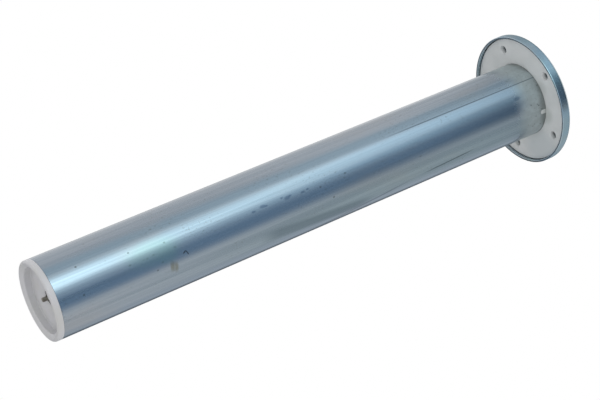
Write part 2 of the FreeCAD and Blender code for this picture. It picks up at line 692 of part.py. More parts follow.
def make_terminals():
    """Three threaded studs with their seals, bushes, washers and nuts."""
    shank_top = f"({COVER_TOP} + stud_rise)"
    head_bottom = "(-strip_sheet - stud_head_height)"
    seals = []
    bushes = []
    washers = []
    nuts = []
    lock_washers = []
    for name, azimuth in (("signal", SIGNAL_AZIMUTH), ("warning", WARNING_AZIMUTH), ("ground", GROUND_AZIMUTH)):
        x, y = polar(TERMINAL_RADIUS, azimuth)
        title = name.title()
        stud = new_body("Stud" + title)
        revolve(stud, "StudBody", (
            ("0", head_bottom),
            ("stud_head / 2", head_bottom),
            ("stud_head / 2", "-strip_sheet"),
            (STUD_RADIUS, "-strip_sheet"),
            (STUD_RADIUS, shank_top + " - stud_chamfer"),
            (STUD_RADIUS + " - stud_chamfer", shank_top),
            ("0", shank_top),
        ))
        place(stud, x=x, y=y)
        node(stud, "terminal_stud_" + name)
        seals.append(make_seal("Seal" + title, x, y, "stud_diameter", "seal_section"))
        base = COVER_TOP
        if name != "ground":
            bushes.append(make_insulating_bush("Bush" + title, x, y))
            base += " + bush_flange_height"
        washer = turned_ring("Washer" + title, STUD_HOLE, "washer_diameter / 2", "washer_height")
        place(washer, x=x, y=y, z=base)
        washers.append(washer)
        nut_base = base + " + washer_height"
        nuts.append(make_nut("LowerNut" + title, "nut_flats", "nut_height", STUD_RADIUS, x, y, nut_base))
        lock_base = nut_base + " + nut_height"
        lock_washers.append(make_lock_washer("LockWasher" + title, x, y, lock_base))
        nut_base = lock_base + " + lock_washer_height"
        nuts.append(make_nut("UpperNut" + title, "nut_flats", "nut_height", STUD_RADIUS, x, y, nut_base))
    group("terminal_seals", seals)
    group("insulating_bushes", bushes)
    group("terminal_washers", washers)
    group("terminal_nuts", nuts)
    group("lock_washers", lock_washers)


def make_seal(name, x, y, shaft, section):
    """Square rubber ring that lies on the floor of its seat, round a shaft."""
    ring = turned_ring(name, f"({shaft} / 2 + slip_gap)", f"({shaft} / 2 + {section})", section)
    place(ring, x=x, y=y, z=f"disc_thickness - seal_room - {section}")
    return ring


def make_insulating_bush(name, x, y):
    """Flanged bush that keeps a terminal clear of the steel cover."""
    body = new_body(name)
    neck = f"({STUD_HOLE} + bush_bore_wall)"
    revolve(body, name + "Body", (
        (STUD_HOLE, "disc_thickness"),
        (neck, "disc_thickness"),
        (neck, COVER_TOP),
        ("bush_flange / 2", COVER_TOP),
        ("bush_flange / 2", COVER_TOP + " + bush_flange_height"),
        (STUD_HOLE, COVER_TOP + " + bush_flange_height"),
    ))
    place(body, x=x, y=y)
    return body


def make_nut(name, flats, height, bore, x, y, z):
    """Hexagon nut with chamfered corners."""
    body = new_body(name)
    outline = new_sketch(body, name + "Outline")
    corner = f"({flats} / 2 / cos(30))"
    add_polygon(outline, [polar(corner, 60 * index) for index in range(6)])
    add_circle(outline, bore)
    pad(body, name + "Body", outline, height)
    inner = f"({corner} - 2 * nut_chamfer)"
    outer = f"({corner} + nut_chamfer)"
    groove(body, name + "Corners", (
        ((inner, "0"), (outer, "0"), (outer, "1.5 * nut_chamfer")),
        ((inner, height), (outer, height), (outer, f"{height} - 1.5 * nut_chamfer")),
    ))
    place(body, x=x, y=y, z=z)
    return body


def make_lock_washer(name, x, y, z):
    """Split ring under an upper nut."""
    body = turned_ring(name, STUD_HOLE, "lock_washer_diameter / 2", "lock_washer_height")
    outline = new_sketch(body, name + "SlitOutline")
    add_box(outline, "stud_diameter / 4", "lock_washer_diameter", "-lock_washer_slit / 2", "lock_washer_slit / 2")
    pocket(body, name + "Slit", outline)
    place(body, x=x, y=y, z=z)
    return body


def make_rod_fastening():
    """Seal, washer and nut that hold the rod's head on the cover, and the stop under its collar."""
    seal = make_seal("RodSeal", "0", "0", "rod_diameter", "rod_seal_section")
    node(seal, "rod_seal")
    washer = turned_ring("RodWasher", ROD_HOLE, "rod_washer_diameter / 2", "rod_washer_height")
    place(washer, z=COVER_TOP)
    node(washer, "rod_washer")
    nut_base = COVER_TOP + " + rod_washer_height"
    node(make_nut("RodNut", "rod_nut_flats", "rod_nut_height", ROD_RADIUS, "0", "0", nut_base), "rod_nut")
    stop = turned_ring("UpperStop", ROD_HOLE, "collar_diameter / 2", "stop_height")
    place(stop, z=STOP_BOTTOM)
    node(stop, "upper_stop")


def make_float():
    """Foam float on its bush, with the sprung bridge that joins the two wires."""
    outer = "float_diameter / 2"
    bush = "bush_diameter / 2"
    foam = new_body("Float")
    revolve(foam, "FloatBody", (
        (bush, FLOAT_BOTTOM),
        (outer + " - float_chamfer", FLOAT_BOTTOM),
        (outer, FLOAT_BOTTOM + " + float_chamfer"),
        (outer, FLOAT_TOP + " - float_chamfer"),
        (outer + " - float_chamfer", FLOAT_TOP),
        (bush, FLOAT_TOP),
    ))
    passages = new_sketch(foam, "FloatPassages")
    add_circle(passages, "float_wire_hole / 2", "wire_offset")
    add_circle(passages, "float_wire_hole / 2", "-wire_offset")
    pocket(foam, "WirePassages", passages)
    slot = new_sketch(foam, "LeadSlotOutline")
    half = "float_lead_slot / 2"
    add_box(slot, f"-{half}", half, f"{LEAD_RADIUS} - {half}", "float_diameter")
    pocket(foam, "LeadSlot", slot)
    node(foam, "float_body")

    sleeve = new_body("FloatBush")
    bore = "(rod_diameter / 2 + bush_running_gap)"
    top = FLOAT_TOP + " + bridge_sheet + bush_head"
    revolve(sleeve, "BushBody", (
        (bore, BUSH_BOTTOM),
        ("bush_foot_diameter / 2", BUSH_BOTTOM),
        ("bush_foot_diameter / 2", FLOAT_BOTTOM),
        (bush, FLOAT_BOTTOM),
        (bush, top),
        (bore, top),
    ))
    node(sleeve, "float_bush")
    make_contact_bridge()


def make_contact_bridge():
    """Bent bronze strip on the float; each arm stands up and takes a wire through its end."""
    body = new_body("ContactBridge")
    profile = new_sketch(body, "BridgeProfile", "XZ_Plane")
    step = "(bridge_flat + bridge_rise)"
    low = FLOAT_TOP
    high = FLOAT_TOP + " + bridge_rise"
    add_polygon(profile, (
        ("-bridge_flat", low),
        ("bridge_flat", low),
        (step, high),
        ("bridge_end", high),
        ("bridge_end", high + " + bridge_sheet"),
        (step + " - bridge_sheet / 2", high + " + bridge_sheet"),
        ("bridge_flat - bridge_sheet / 2", low + " + bridge_sheet"),
        ("bridge_sheet / 2 - bridge_flat", low + " + bridge_sheet"),
        (f"bridge_sheet / 2 - {step}", high + " + bridge_sheet"),
        ("-bridge_end", high + " + bridge_sheet"),
        ("-bridge_end", high),
        (f"-{step}", high),
    ))
    pad(body, "Bridge", profile, "bridge_width", both_ways=True)
    plan = new_sketch(body, "BridgePlan")
    for left, right in (("bush_diameter / 2", "bridge_end + bridge_width"),
                        ("-bridge_end - bridge_width", "-bush_diameter / 2")):
        add_box(plan, left, right, "bridge_arm_width / 2", "bridge_width")
        add_box(plan, left, right, "-bridge_width", "-bridge_arm_width / 2")
    pocket(body, "ArmSides", plan)
    holes = new_sketch(body, "BridgeHoles")
    add_circle(holes, "bush_diameter / 2")
    add_circle(holes, "bridge_wire_hole / 2", "wire_offset")
    add_circle(holes, "bridge_wire_hole / 2", "-wire_offset")
    pocket(body, "BridgeHole", holes)
    return node(body, "contact_bridge")


def check_document():
    """Stop on any failed feature or broken sub-part."""
    doc.recompute()
    for thing in doc.Objects:
        if "Invalid" in thing.State or "Error" in thing.State:
            raise ValueError(f"{thing.Name} failed: {thing.State}")
    for thing in nodes:
        if thing.Shape.isNull() or not thing.Shape.isValid():
            raise ValueError(f"{thing.Label} has no valid shape")


def write_parts():
    """Write each sub-part to its own file."""
    os.makedirs("parts", exist_ok=True)
    for thing in nodes:
        thing.Shape.exportStep(f"parts/{thing.Label}.step")
        print(f"{thing.Label}: {len(thing.Shape.Solids)} solid(s), {thing.Shape.Volume:.1f} cubic mm")


fill_sheet()
make_protective_tube()
make_bottom_cap()
make_flange_carrier()
make_flange_cover()
make_guide_rod()
make_rod_clip()
make_anchor_plate()
make_resistance_wires()
make_wire_spring("left", SIGNAL_AZIMUTH, "-wire_offset")
make_wire_spring("right", GROUND_AZIMUTH, "wire_offset")
make_warning_parts()
make_terminals()
make_rod_fastening()
make_float()
check_document()
write_parts()
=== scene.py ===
"""Looks of an immersion-tube fuel level sender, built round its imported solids.

The tube hangs from its flange: +Z runs up the tube's axis and the origin is the centre of the
flange's seal face. All lengths are in metres.
"""

import logging
import math
from dataclasses import dataclass
from enum import Enum
from typing import Optional

import bmesh
import bpy
from mathutils import Matrix, Vector


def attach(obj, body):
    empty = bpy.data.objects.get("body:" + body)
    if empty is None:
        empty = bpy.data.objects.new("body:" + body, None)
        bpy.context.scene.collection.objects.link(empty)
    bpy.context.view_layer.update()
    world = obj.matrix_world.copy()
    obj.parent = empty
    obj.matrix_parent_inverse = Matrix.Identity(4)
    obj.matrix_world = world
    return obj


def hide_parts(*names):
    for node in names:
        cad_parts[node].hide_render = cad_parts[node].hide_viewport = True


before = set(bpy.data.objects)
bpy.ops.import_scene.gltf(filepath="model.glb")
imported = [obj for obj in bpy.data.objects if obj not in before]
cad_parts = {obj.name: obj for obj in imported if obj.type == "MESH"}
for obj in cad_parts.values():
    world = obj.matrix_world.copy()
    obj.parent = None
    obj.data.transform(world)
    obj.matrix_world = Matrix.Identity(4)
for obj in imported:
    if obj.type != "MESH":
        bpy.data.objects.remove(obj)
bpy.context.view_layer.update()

LOG = logging.getLogger("fuel_level_sender")
BODY = "sender_body"

Profile = list[tuple[float, float]]
Colour = tuple[float, float, float]
Scale = tuple[float, float, float]
Piece = bpy.types.Object
Material = bpy.types.Material
Socket = bpy.types.NodeSocket

# Corners sharper than this are shown as edges
SHARP_ANGLE = math.radians(32)
# Smooth faces that lean less than this from a flat or a wall take its normals where they meet it
NEAR_ANGLE = SHARP_ANGLE / 1.5
# Upright part of a face's normal, above which it lies level and below which it stands upright
LEVEL = 0.9995
UPRIGHT = 0.01
# Radial part of a coaxial wall's normal, and the share by which its radius may differ
RADIAL = 0.995
RADIUS_SHARE = 0.01
# Points nearer to the axis than this are on it
ON_AXIS = 1e-7
# How far a cutter reaches past what it cuts
CUT_MARGIN = 0.002
# Rows of a turned blank for each turn of its thread
ROWS_PER_TURN = 8
# Share of a mark's or a streak's width at which it begins to fade
MARK_CORE = 0.35
STREAK_CORE = 0.3


class Axis(Enum):
    """Axes along which an outline is extruded."""

    X = "x"
    Z = "z"


class Combine(Enum):
    """Ways in which a repeated shape meets the piece that it is repeated on."""

    CUT = "DIFFERENCE"
    ADD = "UNION"


def on_circle(radius: float, azimuth: float, height: float = 0.0) -> Vector:
    """Point at a radius from the axis.

    Args:
        radius: distance from the axis.
        azimuth: direction in degrees, from +X towards +Y.
        height: place along the axis.

    Returns:
        The point.
    """
    turn = math.radians(azimuth)
    return Vector((radius * math.cos(turn), radius * math.sin(turn), height))


def arc(centre: tuple[float, float], radius: float, start: float, end: float, steps: int = 7) -> Profile:
    """Rounding between two straight stretches of a profile.

    Args:
        centre: radius and height of the rounding's centre.
        radius: its radius.
        start: direction in degrees at which it starts, from outwards towards up.
        end: direction at which it ends.
        steps: straight steps that stand for it.

    Returns:
        Its points as (radius, height) pairs.
    """
    points = []
    for step in range(steps + 1):
        turn = math.radians(start + (end - start) * step / steps)
        points.append((centre[0] + radius * math.cos(turn), centre[1] + radius * math.sin(turn)))
    return points


# Meshes


def mesh_object(name: str, mesh: bpy.types.Mesh) -> Piece:
    """Put a mesh into the scene as an object at the origin.

    Args:
        name: name of the object.
        mesh: its mesh.

    Returns:
        The object.
    """
    made = bpy.data.objects.new(name, mesh)
    bpy.context.scene.collection.objects.link(made)
    return made


def closed_object(name: str, work: bmesh.types.BMesh) -> Piece:
    """Put a closed shell into the scene with its faces outwards.

    Args:
        name: name of the object.
        work: the shell, which is freed.

    Returns:
        The object.
    """
    bmesh.ops.recalc_face_normals(work, faces=work.faces[:])
    mesh = bpy.data.meshes.new(name)
    work.to_mesh(mesh)
    work.free()
    return mesh_object(name, mesh)


def turned(name: str, profile: Profile, segments: int) -> Piece:
    """Turn a profile about the axis.

    Args:
        name: name of the object.
        profile: (radius, height) points; closed unless it starts and ends on the axis.
        segments: faces round the axis.

    Returns:
        The turned object.
    """
    work = bmesh.new()
    step = 360.0 / segments
    rings = []
    for radius, height in profile:
        count = segments if radius > ON_AXIS else 1
        rings.append([work.verts.new(on_circle(radius, step * index, height)) for index in range(count)])
    pairs = list(zip(rings, rings[1:]))
    if len(rings[0]) > 1:
        pairs.append((rings[-1], rings[0]))
    for low, high in pairs:
        for index in range(segments):
            after = (index + 1) % segments
            places = ((low, index), (low, after), (high, after), (high, index))
            face = list(dict.fromkeys(ring[place % len(ring)] for ring, place in places))
            if len(face) > 2:
                work.faces.new(face)
    return closed_object(name, work)


def extruded(name: str, outline: Profile, low: float, high: float, axis: Axis) -> Piece:
    """Extrude a closed outline along an axis.

    Args:
        name: name of the object.
        outline: points across the axis: (x, y) for Z, (y, z) for X.
        low: where it starts along the axis.
        high: where it ends.
        axis: X or Z.

    Returns:
        The extruded object.
    """
    work = bmesh.new()
    ends = []
    for level in (low, high):
        points = [(*point, level) if axis is Axis.Z else (level, *point) for point in outline]
        ends.append([work.verts.new(point) for point in points])
    for index in range(len(outline)):
        after = (index + 1) % len(outline)
        work.faces.new((ends[0][index], ends[0][after], ends[1][after], ends[1][index]))
    for end in ends:
        work.faces.new(end)
    return closed_object(name, work)


def shade(piece: Piece, radii: tuple[float, ...] = ()) -> None:
    """Give a turned piece smooth faces with true normals on its flats and its coaxial walls.

    Args:
        piece: the object to shade.
        radii: radii of its coaxial walls.
    """
    mesh = piece.data
    mesh.polygons.foreach_set("use_smooth", [True] * len(mesh.polygons))
    mesh.set_sharp_from_angle(angle=SHARP_ANGLE)
    normals = [Vector(each.vector) for each in mesh.corner_normals]
    exact: dict[int, list[Vector]] = {}
    fixed = set()
    for face in mesh.polygons:
        outward = Vector((face.center.x, face.center.y, 0.0))
        level = abs(face.normal.z) > LEVEL
        radial = face.normal.dot(outward.normalized()) if abs(face.normal.z) < UPRIGHT else 0.0
        near_wall = any(abs(outward.length - wall) < RADIUS_SHARE * wall for wall in radii)
        if not level and not (abs(radial) > RADIAL and near_wall):
            continue
        fixed.add(face.index)
        for corner in face.loop_indices:
            vertex = mesh.loops[corner].vertex_index
            if level:
                true = Vector((0.0, 0.0, math.copysign(1.0, face.normal.z)))
            else:
                place = mesh.vertices[vertex].co
                true = Vector((place.x, place.y, 0.0)).normalized() * math.copysign(1.0, radial)
            normals[corner] = true
            exact.setdefault(vertex, []).append(true)
    for face in mesh.polygons:
        if face.index in fixed:
            continue
        for corner in face.loop_indices:
            for true in exact.get(mesh.loops[corner].vertex_index, ()):
                if true.dot(face.normal) > math.cos(NEAR_ANGLE):
                    normals[corner] = true
    mesh.normals_split_custom_set([each[:] for each in normals])


# Node trees


class NodeTree:
    """Short-hand for a node tree."""

    def __init__(self, tree: bpy.types.NodeTree) -> None:
        """Take a tree.

        Args:
            tree: the tree that the nodes go into.
        """
        self.tree = tree

    def feed(self, socket: Socket, value: object) -> None:
        """Link a socket into an input, or write a value on it.

        Args:
            socket: the input.
            value: a socket, a colour or a plain value.
        """
        if isinstance(value, Socket):
            self.tree.links.new(value, socket)
        elif socket.type == "RGBA":
            socket.default_value = (*value, 1.0)
        else:
            socket.default_value = value

    def node(self, kind: str, links: Optional[dict] = None, **settings: object) -> bpy.types.Node:
        """Add a node.

        Args:
            kind: its type.
            links: what goes into its inputs, by name or number.
            settings: its own options.

        Returns:
            The node.
        """
        made = self.tree.nodes.new(kind)
        for option, value in settings.items():
            setattr(made, option, value)
        for key, value in (links or {}).items():
            self.feed(made.inputs[key], value)
        return made

    def math(self, operation: str, first: object, second: object = 0.0) -> Socket:
        """Add a math node and give its result."""
        return self.node("ShaderNodeMath", {0: first, 1: second}, operation=operation).outputs[0]

    def times(self, first: object, second: object) -> Socket:
        """Product of two numbers."""
        return self.math("MULTIPLY", first, second)

    def parts(self, vector: Socket) -> tuple[Socket, ...]:
        """The three numbers of a vector."""
        return tuple(self.node("ShaderNodeSeparateXYZ", {0: vector}).outputs)

    def vector(self, *parts: object) -> Socket:
        """A vector of its numbers."""
        return self.node("ShaderNodeCombineXYZ", dict(enumerate(parts))).outputs[0]


class GeometryTree(NodeTree):
    """A Geometry Nodes tree with named inputs, and the modifier run that turns it into a plain mesh."""

    def __init__(self, name: str, **inputs: str) -> None:
        """Start a tree that takes geometry, its finish and evenly spaced directions round the axis.

        Args:
            name: name of the tree.
            inputs: its other inputs, each with what it takes.
        """
        super().__init__(bpy.data.node_groups.new(name, "GeometryNodeTree"))
        self.inputs: dict[str, str] = {}
        shared = {"geometry": "Geometry", "count": "Int", "first_angle": "Float", "material": "Material"}
        for label, kind in (shared | inputs).items():
            socket = self.tree.interface.new_socket(
                name=label.replace("_", " ").title(), in_out="INPUT", socket_type="NodeSocket" + kind)
            self.inputs[label] = socket.identifier
        self.tree.interface.new_socket(name="Geometry", in_out="OUTPUT", socket_type="NodeSocketGeometry")
        self.start = self.node("NodeGroupInput")

    def directions(self) -> tuple[Socket, Socket]:
        """A point at the origin for each copy, and the direction of each."""
        given = self.start.outputs
        points = self.node("GeometryNodeMeshLine", {"Count": given["Count"], "Offset": (0.0, 0.0, 0.0)})
        index = self.node("GeometryNodeInputIndex").outputs[0]
        turn = self.times(index, self.math("DIVIDE", math.tau, given["Count"]))
        return points.outputs[0], self.math("ADD", turn, given["First Angle"])

    def finish(self, geometry: Socket) -> None:
        """End the tree: realise the instances, set the material and give the result."""
        real = self.node("GeometryNodeRealizeInstances", {"Geometry": geometry})
        painted = self.node("GeometryNodeSetMaterial", {
            "Geometry": real.outputs[0], "Material": self.start.outputs["Material"]})
        self.node("NodeGroupOutput", {"Geometry": painted.outputs[0]})

    def run(self, piece: Piece, material: Material, count: int, first: float,
            **values: object) -> None:
        """Run the tree on a piece and keep the result as its plain mesh.

        Args:
            piece: the object that the tree works on.
            material: its finish.
            count: how many copies, evenly spaced.
            first: azimuth of the first one, in degrees.
            values: the tree's other inputs.
        """
        modifier = piece.modifiers.new("shape", "NODES")
        modifier.node_group = self.tree
        shared = {"count": count, "first_angle": math.radians(first), "material": material}
        for label, value in (shared | values).items():
            modifier[self.inputs[label]] = value
        bpy.context.view_layer.update()
        graph = bpy.context.evaluated_depsgraph_get()
        result = bpy.data.meshes.new_from_object(piece.evaluated_get(graph), depsgraph=graph)
        piece.modifiers.remove(modifier)
        piece.data = result


class RoundPattern(GeometryTree):
    """Repeats a shape round the axis and cuts it from a piece, or adds it."""

    def __init__(self, combine: Combine) -> None:
        """Build the tree.

        Args:
            combine: whether the shapes are cut out or added.
        """
        super().__init__("round_pattern_" + combine.name.lower(), shape="Object")
        given = self.start.outputs
        shape = self.node("GeometryNodeObjectInfo", {"Object": given["Shape"]})
        points, turn = self.directions()
        rotation = self.node("FunctionNodeEulerToRotation", {0: self.vector(0.0, 0.0, turn)})
        copies = self.node("GeometryNodeInstanceOnPoints", {
            "Points": points, "Instance": shape.outputs["Geometry"], "Rotation": rotation.outputs[0]})
        real = self.node("GeometryNodeRealizeInstances", {"Geometry": copies.outputs[0]})
        meet = self.node("GeometryNodeMeshBoolean", {"Self Intersection": True},
                         operation=combine.value, solver="EXACT")
        base = "Mesh 1" if combine is Combine.CUT else "Mesh 2"
        self.feed(meet.inputs[base], given["Geometry"])
        self.feed(meet.inputs["Mesh 2"], real.outputs[0])
        self.finish(meet.outputs["Mesh"])

    def apply(self, piece: Piece, shape: Piece, count: int, first: float,
              material: Material) -> None:
        """Repeat a shape on a piece and remove the shape's own object.

        Args:
            piece: the piece that changes.
            shape: the shape in place, at azimuth 0.
            count: how many, evenly spaced.
            first: azimuth of the first one, in degrees.
            material: finish of the piece.
        """
        self.run(piece, material, count, first, shape=shape)
        bpy.data.objects.remove(shape, do_unlink=True)


@dataclass(frozen=True)
class Thread:
    """The threaded end of a rod or a stud."""

    radius: float
    low: float
    top: float
    chamfer: float
    pitch: float
    depth: float

    def profile(self) -> Profile:
        """Its turned blank: close rows for the thread, and the chamfered tip."""
        row = self.pitch / ROWS_PER_TURN
        shoulder = self.top - self.chamfer
        blank = [(self.radius, self.low + row * index) for index in range(int((shoulder - self.low) / row))]
        return blank + [(self.radius, shoulder), (self.radius - self.chamfer, self.top), (0.0, self.top)]


class ScrewThread(GeometryTree):
    """Cuts a screw thread into a turned blank and sets copies of it on a circle round the axis."""

    def __init__(self) -> None:
        """Build the tree."""
        sizes = ("pitch", "depth", "low", "high", "circle_radius")
        super().__init__("screw_thread", **dict.fromkeys(sizes, "Float"))
        given = self.start.outputs
        across, along, height = self.parts(self.node("GeometryNodeInputPosition").outputs[0])
        lead = self.math("DIVIDE", self.math("ARCTAN2", along, across), math.tau)
        phase = self.math("FRACT", self.math("SUBTRACT", self.math("DIVIDE", height, given["Pitch"]), lead))
        groove = self.times(self.math("ABSOLUTE", self.math("SUBTRACT", phase, 0.5)), 2.0)
        above = self.math("GREATER_THAN", height, given["Low"])
        below = self.math("LESS_THAN", height, given["High"])
        depth = self.times(self.times(groove, self.times(above, below)), given["Depth"])
        squares = self.math("ADD", self.math("POWER", across, 2.0), self.math("POWER", along, 2.0))
        radius = self.math("MAXIMUM", self.math("POWER", squares, 0.5), ON_AXIS)
        share = self.times(self.math("DIVIDE", depth, radius), -1.0)
        offset = self.vector(self.times(across, share), self.times(along, share))
        cut = self.node("GeometryNodeSetPosition", {"Geometry": given["Geometry"], "Offset": offset})
        points, turn = self.directions()
        sides = [self.times(self.math(side, turn), given["Circle Radius"]) for side in ("COSINE", "SINE")]
        spot = self.vector(*sides)
        placed = self.node("GeometryNodeSetPosition", {"Geometry": points, "Position": spot}).outputs[0]
        copies = self.node("GeometryNodeInstanceOnPoints", {"Points": placed, "Instance": cut.outputs[0]})
        self.finish(copies.outputs[0])

    def apply(self, piece: Piece, thread: Thread, material: Material,
              circle: float = 0.0, count: int = 1, first: float = 0.0) -> None:
        """Cut a thread and set the copies.

        Args:
            piece: the turned blank.
            thread: its threaded end.
            material: its finish.
            circle: radius of the circle that the copies stand on.
            count: how many, evenly spaced.
            first: azimuth of the first one, in degrees.
        """
        self.run(piece, material, count, first, pitch=thread.pitch, depth=thread.depth, low=thread.low,
                 high=thread.top - thread.chamfer / 2, circle_radius=circle)


# Finishes


class Shader(NodeTree):
    """Short-hand for a material's node tree."""

    def __init__(self, name: str) -> None:
        """Start a material with its main shader.

        Args:
            name: name of the material.
        """
        self.material = bpy.data.materials.new(name)
        self.material.use_nodes = True
        super().__init__(self.material.node_tree)
        self.main = self.tree.nodes["Principled BSDF"]
        self.place = self.node("ShaderNodeTexCoord").outputs["Object"]

    def set(self, **values: object) -> None:
        """Set inputs of the main shader; an underscore stands for a space."""
        for name, value in values.items():
            self.feed(self.main.inputs[name.replace("_", " ")], value)

    def noise(self, scale: Scale, detail: float = 3.0, shift: float = 0.0) -> Socket:
        """Noise over the piece.

        Args:
            scale: how fine it is along each axis, in cycles per metre.
            detail: octaves.
            shift: offset that makes it differ from another noise of the same scale.

        Returns:
            Its value, about 0.5 in the middle.
        """
        offset = (shift, shift, shift)
        mapped = self.node("ShaderNodeMapping", {"Vector": self.place, "Scale": scale, "Location": offset})
        made = self.node("ShaderNodeTexNoise", {"Vector": mapped.outputs[0], "Scale": 1.0, "Detail": detail})
        return made.outputs[0]

    def ramp(self, value: Socket, low: float, high: float, start: float = 0.0,
             end: float = 1.0) -> Socket:
        """Smooth step of a value.

        Args:
            value: what is read.
            low: value at which the result is start.
            high: value at which the result is end.
            start: first result.
            end: last result.

        Returns:
            The result.
        """
        made = self.node("ShaderNodeMapRange", {0: value, 1: low, 2: high, 3: start, 4: end},
                         interpolation_type="SMOOTHSTEP")
        return made.outputs[0]

    def blend(self, first: Socket, second: Socket,
              share: float = 0.5) -> Socket:
        """Weighted mean of two numbers.

        Args:
            first: one number.
            second: the other one.
            share: weight of the first one, 0 to 1.

        Returns:
            The mean.
        """
        return self.math("ADD", self.times(first, share), self.times(second, 1.0 - share))

    def mix(self, share: object, first: object, second: object) -> Socket:
        """Mix two colours.

        Args:
            share: how much of the second one, 0 to 1.
            first: a colour or a socket.
            second: a colour or a socket.

        Returns:
            The mixed colour.
        """
        return self.node("ShaderNodeMix", {0: share, 6: first, 7: second}, data_type="RGBA").outputs[2]

    def measure(self, operation: str, first: object, second: object = (0.0, 0.0, 0.0)) -> Socket:
        """Add a vector math node and give its result.

        Args:
            operation: Blender's name of what it does.
            first: a vector or a socket.
            second: a vector or a socket.

        Returns:
            A number for a length or a dot product, else a vector.
        """
        made = self.node("ShaderNodeVectorMath", {0: first, 1: second}, operation=operation)
        return made.outputs["Value" if operation in ("LENGTH", "DOT_PRODUCT") else "Vector"]

    def bump(self, height: Socket, distance: float, strength: float) -> None:
        """Let a height bend the light on the surface.

        Args:
            height: the height, 0 to 1.
            distance: what 1 stands for.
            strength: share of the effect.
        """
        made = self.node("ShaderNodeBump", {"Height": height, "Distance": distance, "Strength": strength})
        self.set(Normal=made.outputs[0])

    def unrolled(self, radius: float) -> Socket:
        """Place on a turned surface laid flat: the way round it and the height."""
        across, along, height = self.parts(self.place)
        return self.vector(self.times(self.math("ARCTAN2", along, across), radius), height)


@dataclass(frozen=True)
class Mark:
    """A stain, a speck or a patch of painted shade on a turned surface: an ellipsoid of colour round a point
    of it.
    """

    azimuth: float
    height: float
    width: float
    length: float
    colour: Colour
    strength: float = 1.0
    radius: Optional[float] = None

    def paint(self, shader: Shader, radius: float, colour: Socket) -> Socket:
        """Lay the mark over a colour.

        Args:
            shader: the material's tree.
            radius: radius of the surface, where the mark has none of its own.
            colour: the colour so far.

        Returns:
            The colour with the mark on it.
        """
        centre = on_circle(radius if self.radius is None else self.radius, self.azimuth, self.height)
        away = shader.measure("SUBTRACT", shader.place, centre[:])
        shape = (1.0 / self.width, 1.0 / self.width, 1.0 / self.length)
        distance = shader.measure("LENGTH", shader.measure("MULTIPLY", away, shape))
        return shader.mix(shader.ramp(distance, MARK_CORE, 1.0, self.strength, 0.0), colour, self.colour)


@dataclass(frozen=True)
class Streak:
    """A thin line on a turned surface, from one point of it to another, that fades at both ends."""

    azimuths: tuple[float, float]
    heights: tuple[float, float]
    width: float
    colour: Colour
    strength: float
    fade: float = 0.3

    def paint(self, shader: Shader, radius: float, colour: Socket) -> Socket:
        """Lay the line over a colour.

        Args:
            shader: the material's tree.
            radius: radius of the surface.
            colour: the colour so far.

        Returns:
            The colour with the line on it.
        """
        start = Vector((math.radians(self.azimuths[0]) * radius, self.heights[0], 0.0))
        run = Vector((math.radians(self.azimuths[1]) * radius, self.heights[1], 0.0)) - start
        away = shader.measure("SUBTRACT", shader.unrolled(radius), start[:])
        along = shader.measure("DOT_PRODUCT", away, (run / run.length_squared)[:])
        inside = shader.node("ShaderNodeClamp", {0: along}).outputs[0]
        aside = shader.measure("SUBTRACT", away, shader.measure("MULTIPLY", run[:], inside))
        distance = shader.measure("LENGTH", aside)
        share = shader.ramp(distance, STREAK_CORE * self.width, self.width, self.strength, 0.0)
        for low, high in ((0.0, self.fade), (1.0, 1.0 - self.fade)):
            share = shader.times(share, shader.ramp(inside, low, high))
        return shader.mix(share, colour, self.colour)


@dataclass(frozen=True)
class Patches:
    """Patches of a noise, by how fine it is and the two of its values between which they fade in."""

    scale: Scale
    low: float
    high: float
    start: float = 0.0
    end: float = 1.0
    detail: float = 3.0
    shift: float = 0.0

    def share(self, shader: Shader) -> Socket:
        """How much of a patch is at the shaded point."""
        noise = shader.noise(self.scale, self.detail, self.shift)
        return shader.ramp(noise, self.low, self.high, self.start, self.end)


